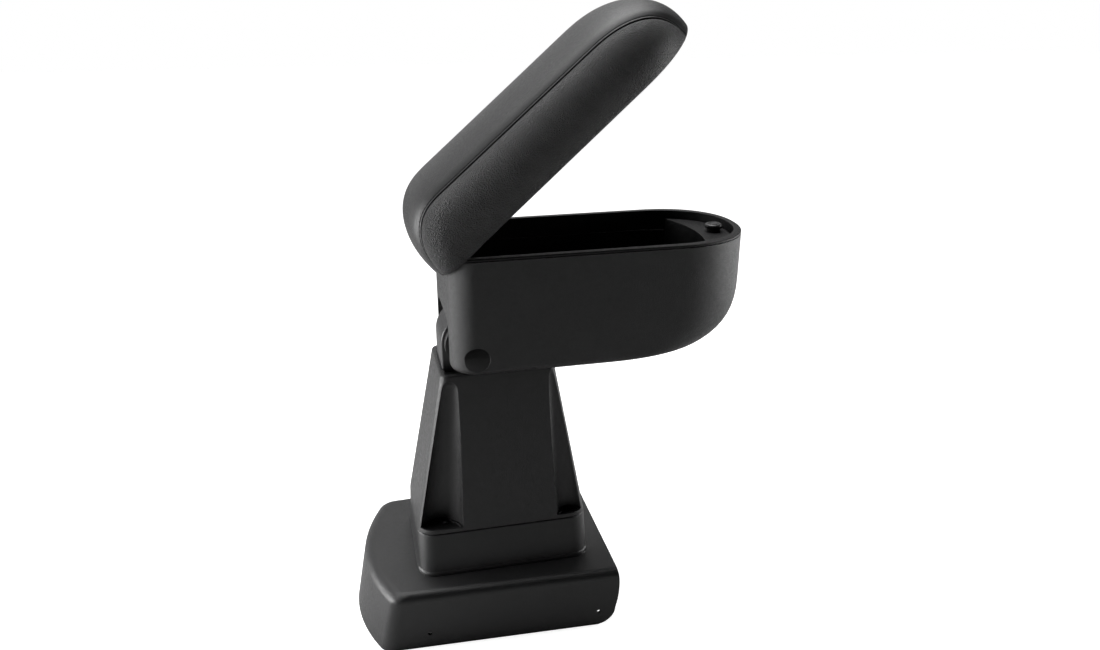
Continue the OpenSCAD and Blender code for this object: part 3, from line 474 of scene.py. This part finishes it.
def build_lid():
    """Padded cushion: cover with its seams drawn in, a low roll beside them and the beds of the stitches."""
    o, depth_at = cover_mesh()
    seam, hem = {}, set()
    for v in o.data.vertices:
        key = place_key(v.co)
        if key in depth_at:
            seam[v.index] = depth_at[key]
        if v.co.z < 0.0001:
            hem.add(v.index)
    inflate(o, sorted(hem | set(seam)))
    bm = bmesh.new()
    bm.from_mesh(o.data)
    bm.verts.ensure_lookup_table()
    bm.normal_update()
    shift = {i: bm.verts[i].normal * w / 1000 for i, w in seam.items() if bm.verts[i].co.z > 0.002}
    for i, d in shift.items():
        bm.verts[i].co -= d
    turn_hem(bm)
    bm.to_mesh(o.data)
    bm.free()
    o.data.transform(Matrix.Scale(1000, 4))
    o.data.transform(LID_M)
    sub = o.modifiers.new("sub", "SUBSURF")
    sub.levels = sub.render_levels = 2
    apply_all(o)
    o.data.polygons.foreach_set("use_smooth", [True] * len(o.data.polygons))
    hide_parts("cover_top", "cover_near", "cover_far", "lid_foam")
    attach(o, "lid")


STITCH_PITCH, STITCH_LENGTH, STITCH_R, STITCH_START = 4.2, 3.3, 0.34, 6.0
STITCH_LOW = 3  # height above the pan below which no stitch lies
STITCH_LIFT, STITCH_ARCH = 0.3, 1.5  # how far a stitch stands above its bed, and how its ends dip in
# form of a stitch: place along it and share of the radius
STITCH_FORM = ((-0.5, 0.25), (-0.38, 0.85), (0.0, 1.0), (0.38, 0.85), (0.5, 0.25))
STITCH_SIDES, SEAM_STEPS = 6, 900
STEP_T, STEP_S = 0.02, 0.004  # steps across and along for the normal of the cover
LID_MIDDLE = Vector((120, 0, 20))


def seam_line(side):
    """Points and outward normals of the stitch line beside one seam."""
    line, normals = [], []
    t = 1 - STITCH_LINE / SEAM_Y
    for i in range(SEAM_STEPS + 1):
        s = 3 * i / SEAM_STEPS
        p = strip_point(s, side * t)
        across = strip_point(s, side * (t + STEP_T)) - strip_point(s, side * (t - STEP_T))
        along = strip_point(min(3, s + STEP_S), side * t) - strip_point(max(0, s - STEP_S), side * t)
        n = along.cross(across)
        line.append(p)
        normals.append((n if n.dot(p - LID_MIDDLE) > 0 else -n).normalized())
    return line, normals


def add_stitch(verts, faces, centre, axis, up):
    cross = axis.cross(up)
    base, n, last = len(verts), STITCH_SIDES, len(STITCH_FORM) - 1
    for a, share in STITCH_FORM:
        lift = STITCH_LIFT - STITCH_BED - STITCH_ARCH * abs(a) ** 2
        r = STITCH_R * share
        for k in range(n):
            w = 360 / n * k
            verts.append(centre + axis * (a * STITCH_LENGTH) + up * (lift + r * sind(w)) + cross * (r * cosd(w)))
    for a in range(last):
        for k in range(n):
            faces.append((base + a * n + k, base + a * n + (k + 1) % n,
                          base + (a + 1) * n + (k + 1) % n, base + (a + 1) * n + k))
    faces.append(tuple(base + k for k in range(n - 1, -1, -1)))
    faces.append(tuple(base + last * n + k for k in range(n)))


def build_stitches():
    """Thread stitches beside both seams of the lid, each a short bar bedded in the cover."""
    verts, faces = [], []
    for side in (-1, 1):
        line, normals = seam_line(side)
        travelled, due = 0.0, STITCH_START
        for i in range(1, len(line)):
            step = line[i] - line[i - 1]
            travelled += step.length
            if travelled < due or line[i].z < STITCH_LOW:
                continue
            due = travelled + STITCH_PITCH
            add_stitch(verts, faces, line[i], step.normalized(), normals[i])
    o = mesh_object("lid_stitches", verts, faces, ("thread",))
    o.data.transform(LID_M)
    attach(o, "lid")


# ---------------------------------------------------------------- moulded shells (millimetres, part frame)
BASE_H, BASE_FRONT, BASE_REAR = 64.0, 107.0, 146.0
BASE_FRONT_W, BASE_REAR_W, BASE_LEAN, BASE_SPLAY, BASE_EDGE, BASE_WALL = 184.0, 166.0, 12.0, 4.0, 9.0, 3.0
BASE_CORNER, BASE_BOW, BASE_RUN, FRONT_BOW, FOOT_R = 15.0, 17.0, 30.0, 3.0, 20.0
BASE_ARC = (86, 150)  # angles between which a rear corner turns; the bowed rear wall goes on from there
FRONT_HIGH = 0.72  # share of the height at which the front stands out most
SIDE_HOLES, SIDE_HOLE_Z, SCREW_D = (87.0, -80.0), 16.5, 4.2
PLINTH_L, PLINTH_W, SEAM_Z, FLARE, CORNER_R, DRAFT_X, BEAD_R = 167.0, 112.0, 106.5, 6.8, 17.0, 1.3, 2.2
TOP_Z, TOP_W, TOP_FRONT, TOP_REAR, TOP_CORNER = 264.5, 78.0, 55.0, 53.5, 7.0
# bead at the plinth's foot, and the edges at the seam of plinth and column and at the column's top
BEAD_OUT, SEAM_ROUND, SEAM_IN, TOP_ROUND, TOP_IN = 0.9, 1.2, 1.0, 2, 1.3
POCKET_FLOOR, POCKET_LIP, COLUMN_WALL = 2.5, 2.0, 3
# flutes: direction, foot x, foot radius, tip x, tip radius, depth of the tip below the top
FLUTES = ((1, PLINTH_L / 2 - 16.5, 14.0, TOP_FRONT - 2, 8.6, 8.0),
          (-1, PLINTH_L / 2 - 22, 21.5, TOP_REAR - 7, 10.5, 13.0))
FLUTE_Y, FLUTE_TIP_Y = PLINTH_W / 2 + 1, TOP_W / 2 + 8
FLUTE_SIDES, FLUTE_START = 128, -0.1  # the tool starts below the foot by this share of its length
TOP_DISH, DECK_T, DISH_ENDS, SEAT_GAP = 5.0, 4.0, 12, 0.3
DECK_Z = TOP_Z - TOP_DISH
TILT_X, TILT_Z, HEAD_R, HEAD_W, HEAD_ROUND, BOLT_D = -22.5, 289.5, 27.5, 44.0, 2.0, 10.0
BIN_REAR, BIN_TIP, BIN_Z0, RIM_Z, BIN_W = -44.6, 243.4, 273.0, 383.0, 134.0
NOSE_L, NOSE_UNDER, NOSE_RISE, UNDER_P, BIN_CORNER, BIN_EDGE, BIN_DRAFT = 74.0, 86.0, 66.0, 2.7, 22.0, 7.5, 0.8
FLOOR_ANGLES = (90, 87.5, 85, 82.5, 80, 77, 74, 71, 68, 65, 61, 57, 52, 46, 40, 34, 27, 20, 13, 6, 0)
BIN_WALL, RIM_T, RIM_ROUND, FLANGE_W, LINER_IN, LINER_T, LEDGE = 3.0, 2.2, 0.9, 6.5, 8.1, 2, 20.0
SLOT_R, SLOT_HALF, CHEEK_T, ARCH_R = HEAD_R + 1.3, TOP_W / 2 + 2, 3.2, 15.0
SLOT_DROP, SLOT_REAR = 40, 44.2
RECESS_R, RECESS_Y, RECESS_WALL, CAP_Y = 11.5, SLOT_HALF + CHEEK_T + 4, 2.5, 56.8
# floor of the recess: how far it stands out beyond CAP_Y, at heights from the axis
CAP_HALF, CAP_SLOPE = 13, ((9.4, -13), (7.6, 0), (1, 13))
STEP_X, STEP_Z = TILT_X + SLOT_R + CHEEK_T + 0.4, TILT_Z + SLOT_R + CHEEK_T + 0.4


def solid(name, rings):
    """A closed mesh through a stack of rings with equal numbers of points."""
    n, m = len(rings[0]), len(rings)
    verts = [p for ring in rings for p in ring]
    faces = [tuple(range(n - 1, -1, -1))]
    for k in range(m - 1):
        for j in range(n):
            faces.append((k * n + j, k * n + (j + 1) % n, (k + 1) * n + (j + 1) % n, (k + 1) * n + j))
    faces.append(tuple((m - 1) * n + j for j in range(n)))
    o = mesh_object(name, verts, faces)
    bm = bmesh.new()
    bm.from_mesh(o.data)
    bmesh.ops.recalc_face_normals(bm, faces=bm.faces)
    bm.to_mesh(o.data)
    bm.free()
    return o


def prism(name, outline, a, b, axis="z"):
    """A straight prism over an outline; axis y takes the outline as x and z, axis x as y and z."""
    put = {"z": lambda p, h: (p[0], p[1], h), "y": lambda p, h: (p[0], h, p[1]),
           "x": lambda p, h: (h, p[0], p[1])}[axis]
    return solid(name, [[put(p, a) for p in outline], [put(p, b) for p in outline]])


def arc(cx, cy, r, a0, a1, steps):
    return [(cx + r * cosd(a0 + (a1 - a0) * i / steps), cy + r * sind(a0 + (a1 - a0) * i / steps))
            for i in range(steps + 1)]


def rod(name, axis, centre, r, a, b, steps=96):
    """A cylinder along axis x, y or z from a to b."""
    rings = []
    for h in (a, b):
        ring = []
        for i in range(steps):
            c, s = r * cosd(360 * i / steps), r * sind(360 * i / steps)
            ring.append({"x": (h, centre[0] + c, centre[1] + s), "y": (centre[0] + c, h, centre[1] + s),
                         "z": (centre[0] + c, centre[1] + s, h)}[axis])
        rings.append(ring)
    return solid(name, rings)


def block(name, x0, x1, y0, y1, z0, z1):
    return prism(name, [(x0, y0), (x1, y0), (x1, y1), (x0, y1)], z0, z1)


def boolean(o, tools, op="DIFFERENCE"):
    """Cuts, joins or trims an object with each tool in turn and removes the tools."""
    for t in tools:
        m = o.modifiers.new("bool", "BOOLEAN")
        m.operation = op
        m.solver = "EXACT"
        m.object = t
        apply_all(o)
        bpy.data.objects.remove(t)
    return o


WELD, SLIVER, SHARP_ANGLE = 0.004, 0.002, 32


def finish_shell(o, slot, replaced, body):
    """Scales a shell to metres, shades it, and hands it in for the CAD nodes that it shows."""
    bm = bmesh.new()
    bm.from_mesh(o.data)
    bmesh.ops.remove_doubles(bm, verts=bm.verts, dist=WELD)
    bmesh.ops.dissolve_degenerate(bm, edges=bm.edges, dist=SLIVER)
    bmesh.ops.triangulate(bm, faces=[f for f in bm.faces if len(f.verts) > 4])
    bm.to_mesh(o.data)
    bm.free()
    o.data.transform(Matrix.Scale(0.001, 4))
    o.data.polygons.foreach_set("use_smooth", [True] * len(o.data.polygons))
    o.data.set_sharp_from_angle(angle=math.radians(SHARP_ANGLE))
    o.data.materials.clear()
    o.data.materials.append(MAT[slot])
    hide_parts(*replaced)
    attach(o, body)


def edge_inset(r, h):
    """How far an edge of radius r is drawn in at distance h from its end."""
    return 0.0 if h >= r else r - math.sqrt(max(0.0, r * r - (r - h) ** 2))


def at_z(outline, z):
    return [(p[0], p[1], z) for p in outline]


def base_half(x):
    return mix(BASE_REAR_W, BASE_FRONT_W, (x + BASE_REAR) / (BASE_REAR + BASE_FRONT)) / 2


def base_outline(z, d):
    inset = d + edge_inset(BASE_EDGE, BASE_H - z)
    rear = -BASE_REAR + BASE_LEAN * z / BASE_H + inset
    front = BASE_FRONT + BASE_RUN
    corner_x = rear + BASE_BOW
    splay = BASE_SPLAY * z / BASE_H
    half = base_half(corner_x) + splay - inset
    r = BASE_CORNER
    widening = (BASE_FRONT_W - BASE_REAR_W) / 2
    front_half = base_half(BASE_FRONT) + splay - inset + widening * BASE_RUN / (BASE_REAR + BASE_FRONT)
    a, b = BASE_ARC
    bow = [(mix(rear, corner_x + r - r * cosd(180 - b), (i / 16) ** 2), i / 16 * (half - r + r * sind(180 - b)))
           for i in range(15, -16, -1)]
    return ([(front, -front_half), (front, front_half)] + arc(corner_x + r, half - r, r, a, b, 14) + bow
            + arc(corner_x + r, -half + r, r, 360 - b, 360 - a, 14))


def base_rings(d):
    out = [at_z(base_outline(0, d), 0 if d == 0 else -1)]
    for i in range(13):
        z = BASE_H - BASE_EDGE + (BASE_EDGE - d) * sind(90 * i / 12)
        out.append(at_z(base_outline(z + (d * max(0, z - BASE_H + BASE_EDGE) / BASE_EDGE if d else 0), d), z))
    return out


def round_box(x0, x1, w, r, steps=14):
    return (arc(x1 - r, -w / 2 + r, r, -90, 0, steps) + arc(x1 - r, w / 2 - r, r, 0, 90, steps)
            + arc(x0 + r, w / 2 - r, r, 90, 180, steps) + arc(x0 + r, -w / 2 + r, r, 180, 270, steps))


def plinth_ring(z, d):
    t = (SEAM_Z - z) / (SEAM_Z - BASE_H)
    return at_z(round_box(-PLINTH_L / 2 - DRAFT_X * t + d, PLINTH_L / 2 + DRAFT_X * t - d,
                          PLINTH_W + 2 * FLARE * t - 2 * d, CORNER_R - d), z)


def corner_places():
    x, y = PLINTH_L / 2 - 28, PLINTH_W / 2 - 17
    return [(sx * x, sy * y) for sx in (-1, 1) for sy in (-1, 1)]


def build_base():
    o = solid("base_body", base_rings(0))
    foot_x, high = BASE_FRONT - FRONT_BOW - FOOT_R, FRONT_HIGH * BASE_H
    edge = [(foot_x, -2)] + arc(foot_x, FOOT_R, FOOT_R, -80, 0, 20)
    for i in range(1, 25):
        z = mix(FOOT_R, BASE_H + 1, i / 24)
        edge.append((BASE_FRONT - FRONT_BOW * ((z - high) / (FOOT_R - high)) ** 2, z))
    trim = prism("trim", [(-BASE_REAR - 1, -2)] + edge + [(-BASE_REAR - 1, BASE_H + 1)],
                 -BASE_FRONT_W, BASE_FRONT_W, "y")
    boolean(o, [trim], "INTERSECT")
    foot = [plinth_ring(BASE_H - 1, 0)]
    foot += [plinth_ring(BASE_H + BEAD_R * (1 - cosd(a)), -BEAD_OUT * sind(a)) for a in range(0, 181, 18)]
    foot += [plinth_ring(SEAM_Z - SEAM_ROUND * (1 - sind(a)), SEAM_IN * (1 - cosd(a))) for a in range(0, 91, 15)]
    boolean(o, [solid("plinth", foot)], "UNION")
    boolean(o, [solid("inside", base_rings(BASE_WALL)),
                solid("inside_up", [plinth_ring(BASE_H - 2 * BASE_WALL, BASE_WALL),
                                    plinth_ring(SEAM_Z - BASE_WALL, BASE_WALL)])])
    boolean(o, [rod("hole", "y", (x, SIDE_HOLE_Z), SCREW_D / 2, -110, 110, steps=32) for x in SIDE_HOLES])
    finish_shell(o, "base_plastic", ("base_shell",), "base")


def column_ring(z, d):
    t = (z - SEAM_Z) / (TOP_Z - SEAM_Z)
    return at_z(round_box(mix(-PLINTH_L / 2, -TOP_REAR, t) + d, mix(PLINTH_L / 2, TOP_FRONT, t) - d,
                          mix(PLINTH_W, TOP_W, t) - 2 * d, mix(CORNER_R, TOP_CORNER, t) - d / 2), z)


def flute_tool(flute, sy, grow):
    sx, foot_x, foot_r, tip_x, tip_r, drop = flute
    foot = Vector((sx * foot_x, sy * FLUTE_Y, SEAM_Z + POCKET_FLOOR + 1))
    tip = Vector((sx * tip_x, sy * FLUTE_TIP_Y, TOP_Z - drop))
    rise = tip - foot
    rings = []
    n = rise.length
    r0, r1 = mix(foot_r, tip_r, FLUTE_START) + grow, tip_r + grow
    turn = 360 / FLUTE_SIDES
    tip_rings = [(n + r1 * sind(a), r1 * cosd(a)) for a in (15, 30, 45, 60, 75, 86)]
    for h, r in [(FLUTE_START * n, r0), (n, r1)] + tip_rings:
        rings.append([(r * cosd(turn * i), r * sind(turn * i), h) for i in range(FLUTE_SIDES)])
    o = solid("flute", rings)
    o.data.transform(Matrix.Translation(foot) @ rise.to_track_quat("Z", "Y").to_matrix().to_4x4())
    low = SEAM_Z + POCKET_FLOOR + POCKET_LIP - grow
    return boolean(o, [block("room", min(0, sx * PLINTH_L), max(0, sx * PLINTH_L), min(0, sy * PLINTH_W),
                             max(0, sy * PLINTH_W), low, TOP_Z + 20)], "INTERSECT")


def pocket_tool(flute, sy, inset, low, high):
    return rod("pocket", "z", (flute[0] * flute[1], sy * FLUTE_Y), flute[2] - inset, low, high)


def build_column():
    rings = [column_ring(SEAM_Z + SEAM_ROUND * (1 - cosd(a)), SEAM_IN * (1 - sind(a))) for a in range(0, 91, 15)]
    rings += [column_ring(mix(SEAM_Z + SEAM_ROUND, TOP_Z - TOP_ROUND, i / 12), 0) for i in range(1, 13)]
    rings += [column_ring(TOP_Z - TOP_ROUND * (1 - sind(a)), TOP_IN * (1 - cosd(a))) for a in range(15, 91, 15)]
    o = solid("column_body", rings)
    places = [(f, sy) for f in FLUTES for sy in (-1, 1)]
    boolean(o, [flute_tool(f, sy, 0) for f, sy in places])
    core = solid("core", [column_ring(SEAM_Z - 1, COLUMN_WALL), column_ring(DECK_Z - DECK_T, COLUMN_WALL)])
    boolean(core, [flute_tool(f, sy, COLUMN_WALL) for f, sy in places])
    boolean(core, [pocket_tool(f, sy, -1, SEAM_Z - 2, SEAM_Z + POCKET_FLOOR) for f, sy in places])
    boolean(o, [core])
    pockets = []
    for f, sy in places:
        p = pocket_tool(f, sy, 2, SEAM_Z + POCKET_FLOOR, SEAM_Z + POCKET_FLOOR + POCKET_LIP + 1)
        keep = solid("keep", [column_ring(SEAM_Z, POCKET_LIP), column_ring(TOP_Z, POCKET_LIP)])
        pockets.append(boolean(p, [keep], "INTERSECT"))
    boolean(o, pockets)
    boolean(o, [rod("screw_hole", "z", c, SCREW_D / 2, SEAM_Z - 1, SEAM_Z + 6, steps=32) for c in corner_places()])
    half = TOP_W / 2 - COLUMN_WALL
    r = (half * half + TOP_DISH ** 2) / (2 * TOP_DISH)
    reach = (TOP_REAR + TOP_FRONT - DISH_ENDS) / 2
    boolean(o, [rod("dish", "x", (0, DECK_Z + r), r, -reach, reach, steps=360),
                block("seat", TILT_X - HEAD_R - SEAT_GAP, TILT_X + HEAD_R + SEAT_GAP,
                      -HEAD_W / 2 - SEAT_GAP, HEAD_W / 2 + SEAT_GAP, DECK_Z, TOP_Z + 1)])
    finish_shell(o, "column_plastic", ("column_shell",), "base")


def bin_outline(rear, tip, half, r):
    nose = []
    for i in range(-36, 37):
        a = 2.5 * i
        nose.append((tip - NOSE_L + NOSE_L * soft(cosd(a), NOSE_P),
                     half * math.copysign(soft(abs(sind(a)), NOSE_P), a)))
    return nose + arc(rear + r, half - r, r, 90, 180, 16) + arc(rear + r, -half + r, r, 180, 270, 16)


def bin_ring(z, d, tip):
    inset = d + edge_inset(BIN_EDGE - d / 2, z - BIN_Z0 - d)
    half = BIN_W / 2 - BIN_DRAFT * (RIM_Z - z) / (RIM_Z - BIN_Z0) - inset
    return at_z(bin_outline(BIN_REAR + inset, tip - inset, half, BIN_CORNER - d), z)


def wall_ring(z, d):
    return bin_ring(z, d, BIN_TIP)


def bin_floor_rings(d):
    return [bin_ring(BIN_Z0 + d + (NOSE_RISE - d) * (1 - soft(sind(a), UNDER_P)), d,
                     BIN_TIP - (NOSE_UNDER - d) * (1 - soft(cosd(a), UNDER_P))) for a in FLOOR_ANGLES]


def slot_tool(r, half):
    o = rod("slot", "y", (TILT_X, TILT_Z), r, -half, half, steps=128)
    boolean(o, [block("slot_low", TILT_X - r, TILT_X + r, -half, half, TILT_Z - SLOT_DROP, TILT_Z)], "UNION")
    low, high = TILT_Z - SLOT_DROP - 1, TILT_Z + r - ARCH_R
    arch = ([(-half, low), (half, low)] + arc(half - ARCH_R, high, ARCH_R, 0, 90, 16)
            + arc(ARCH_R - half, high, ARCH_R, 90, 180, 16))
    return boolean(o, [prism("slot_rear", arch, TILT_X - SLOT_REAR, TILT_X, "x")], "UNION")


def build_bin():
    top = RIM_Z - RIM_T - 0.5
    o = solid("bin_body", bin_floor_rings(0)
              + [wall_ring(mix(BIN_Z0 + NOSE_RISE, top, i / 4), 0) for i in range(1, 5)])
    room = solid("room", bin_floor_rings(BIN_WALL) + [wall_ring(RIM_Z + 1, BIN_WALL)])
    boolean(room, [slot_tool(SLOT_R + CHEEK_T, SLOT_HALF + CHEEK_T)])
    y = SLOT_HALF + CHEEK_T - 1
    boolean(room, [rod("wall", "y", (TILT_X, TILT_Z), RECESS_R + RECESS_WALL, s * y, s * BIN_W) for s in (-1, 1)])
    boolean(o, [room])
    boolean(o, [slot_tool(SLOT_R, SLOT_HALF)])
    boolean(o, [rod("recess", "y", (TILT_X, TILT_Z), RECESS_R, s * RECESS_Y, s * BIN_W) for s in (-1, 1)])
    for s in (-1, 1):
        slope = ([(s * CAP_Y, TILT_Z - CAP_HALF)] + [(s * (CAP_Y + y), TILT_Z + z) for y, z in CAP_SLOPE]
                 + [(s * CAP_Y, TILT_Z + CAP_HALF)])
        cap = rod("cap", "y", (TILT_X, TILT_Z), RECESS_R + 0.3, s * CAP_Y, s * BIN_W)
        boolean(cap, [prism("slope", slope, TILT_X - CAP_HALF, TILT_X + CAP_HALF, "x")], "INTERSECT")
        boolean(o, [cap], "UNION")
    finish_shell(o, "bin_plastic", ("bin_shell",), "bin")


def build_liner():
    out, rim, inner = RIM_Z - LEDGE - LINER_T, RIM_Z - RIM_T, FLANGE_W - LINER_T
    steps = [(out, LINER_IN - LINER_T), (out, inner), (rim - 0.5, inner), (rim - 0.5, 1.4), (rim, 1.2), (rim, 0.3),
             (rim + 0.25, 0.05)]
    steps += [(RIM_Z - RIM_ROUND * (1 - sind(a)), RIM_ROUND * (1 - cosd(a))) for a in (0, 22, 45, 68, 90)]
    o = solid("liner_body", bin_floor_rings(LINER_IN - LINER_T) + [wall_ring(z, d) for z, d in steps])
    steps = [(RIM_Z - LEDGE, LINER_IN), (RIM_Z - LEDGE, FLANGE_W), (RIM_Z + 1, FLANGE_W)]
    room = solid("room", bin_floor_rings(LINER_IN) + [wall_ring(z, d) for z, d in steps])
    boolean(room, [block("step", BIN_REAR, STEP_X + LINER_T, -BIN_W / 2, BIN_W / 2, BIN_Z0, STEP_Z + LINER_T)])
    boolean(o, [room, block("step", BIN_REAR - 1, STEP_X, -BIN_W / 2, BIN_W / 2, BIN_Z0 - 1, STEP_Z)])
    finish_shell(o, "liner_plastic", ("bin_liner",), "bin")


def build_head():
    """Hinge head: a lug with rounded rims on a foot, and the tilt bolt's bore."""
    w = HEAD_W / 2
    rings = []
    prof = [(HEAD_R - HEAD_ROUND * (1 - sind(a)), -w + HEAD_ROUND * (1 - cosd(a))) for a in range(0, 91, 15)]
    prof += [(r, -y) for r, y in reversed(prof)]
    for r, y in prof:
        rings.append([(TILT_X + r * cosd(3 * i), y, TILT_Z + r * sind(3 * i)) for i in range(120)])
    o = solid("head_body", rings)
    foot = round_box(TILT_X - HEAD_R, TILT_X + HEAD_R, HEAD_W, HEAD_ROUND, 6)
    boolean(o, [prism("foot", foot, DECK_Z, TILT_Z)], "UNION")
    boolean(o, [rod("bore", "y", (TILT_X, TILT_Z), BOLT_D / 2 + 0.1, -w - 1, w + 1)])
    finish_shell(o, "head_plastic", ("hinge_head",), "base")


# ---------------------------------------------------------------- pieces
build_base()
build_column()
build_head()
build_bin()
build_liner()
build_lid()
build_stitches()

# ---------------------------------------------------------------- stage
FLOOR_HALF = 6.0
FLOOR_WHITE = 0.84  # the light on the floor makes up the rest, so a faint shadow stays
# middle and reach of the patch of floor that the base covers, which stays in shade
SHADE_X, SHADE_Y = (-0.035, 0.085), (0.0, 0.078)
corners = [(sx * FLOOR_HALF, sy * FLOOR_HALF, 0) for sx, sy in ((-1, -1), (1, -1), (1, 1), (-1, 1))]
floor_mesh = bpy.data.meshes.new("floor")
floor_mesh.from_pydata(corners, [], [(0, 1, 2, 3)])
floor = bpy.data.objects.new("floor", floor_mesh)
scene.collection.objects.link(floor)
floor_mat = bpy.data.materials.new("floor_white")
floor_mat.use_nodes = True
fn = floor_mat.node_tree
soft_floor = fn.nodes["Principled BSDF"]
soft_floor.inputs["Base Color"].default_value = (0.5, 0.5, 0.5, 1)
soft_floor.inputs["Roughness"].default_value = 0.9
soft_floor.inputs["Specular IOR Level"].default_value = 0.1
seen = fn.nodes.new("ShaderNodeEmission")
seen.inputs["Strength"].default_value = FLOOR_WHITE
seen.inputs["Color"].default_value = (1, 1, 1, 1)
lit = fn.nodes.new("ShaderNodeBsdfDiffuse")
lit.inputs["Color"].default_value = (0.8, 0.8, 0.8, 1)
shown = fn.nodes.new("ShaderNodeAddShader")
fn.links.new(seen.outputs["Emission"], shown.inputs[0])
fn.links.new(lit.outputs["BSDF"], shown.inputs[1])
place = fn.nodes.new("ShaderNodeTexCoord")
split = fn.nodes.new("ShaderNodeSeparateXYZ")
fn.links.new(place.outputs["Object"], split.inputs["Vector"])


def beyond(axis, middle, reach):
    """1 where the coordinate lies farther than reach from the middle."""
    away = math_node(fn, "ABSOLUTE", math_node(fn, "SUBTRACT", split.outputs[axis], middle))
    return math_node(fn, "GREATER_THAN", away, reach)


path = fn.nodes.new("ShaderNodeLightPath")
open_floor = math_node(fn, "MAXIMUM", beyond("X", *SHADE_X), beyond("Y", *SHADE_Y))
pick = fn.nodes.new("ShaderNodeMixShader")
fn.links.new(math_node(fn, "MULTIPLY", open_floor, path.outputs["Is Camera Ray"]), pick.inputs["Fac"])
fn.links.new(soft_floor.outputs["BSDF"], pick.inputs[1])
fn.links.new(shown.outputs["Shader"], pick.inputs[2])
fn.links.new(pick.outputs["Shader"], fn.nodes["Material Output"].inputs["Surface"])
floor_mesh.materials.append(floor_mat)

# the world is white to the camera, and to the object a soft glow from one side
GLOW_FROM, GLOW_SPREAD, GLOW_LIGHT = (-0.6, 0.8, 0.15), (-0.1, 0.85), (0.0, 0.65)
world = bpy.data.worlds.new("world")
scene.world = world
world.use_nodes = True
wn = world.node_tree
glow = wn.nodes["Background"]
white = wn.nodes.new("ShaderNodeBackground")
white.inputs["Color"].default_value = (1, 1, 1, 1)
wco = wn.nodes.new("ShaderNodeTexCoord")
toward = wn.nodes.new("ShaderNodeVectorMath")
toward.operation = "DOT_PRODUCT"
toward.inputs[1].default_value = Vector(GLOW_FROM).normalized()
wn.links.new(wco.outputs["Generated"], toward.inputs[0])
spread = wn.nodes.new("ShaderNodeMapRange")
spread.interpolation_type = "SMOOTHSTEP"
spread.inputs["From Min"].default_value, spread.inputs["From Max"].default_value = GLOW_SPREAD
spread.inputs["To Min"].default_value, spread.inputs["To Max"].default_value = GLOW_LIGHT
wn.links.new(toward.outputs["Value"], spread.inputs["Value"])
wn.links.new(spread.outputs["Result"], glow.inputs["Color"])
wpath = wn.nodes.new("ShaderNodeLightPath")
wpick = wn.nodes.new("ShaderNodeMixShader")
wn.links.new(wpath.outputs["Is Camera Ray"], wpick.inputs["Fac"])
wn.links.new(glow.outputs["Background"], wpick.inputs[1])
wn.links.new(white.outputs["Background"], wpick.inputs[2])
wn.links.new(wpick.outputs["Shader"], wn.nodes["World Output"].inputs["Surface"])

LIGHTS = {  # place, target, edge and power
    "key": ((-1.5, 0.2, 0.35), (0, 0, 0.2), 0.7, 28),
    "top": ((0, 0.35, 1.6), (0, 0, 0.2), 1.0, 20),
    "nose_side": ((1.3, 0.1, 0.35), (0, 0, 0.3), 0.6, 10),
    "left_low": ((-1.4, -0.35, 0.12), (0, 0, 0.15), 0.4, 8),
}
for name, (loc, target, size, power) in LIGHTS.items():
    light = bpy.data.lights.new(name, "AREA")
    light.shape = "RECTANGLE"
    light.size = light.size_y = size
    light.energy = power
    lamp = bpy.data.objects.new(name, light)
    lamp.location = loc
    lamp.rotation_euler = (Vector(target) - Vector(loc)).to_track_quat("-Z", "Y").to_euler()
    scene.collection.objects.link(lamp)
scene.view_settings.view_transform = "Standard"
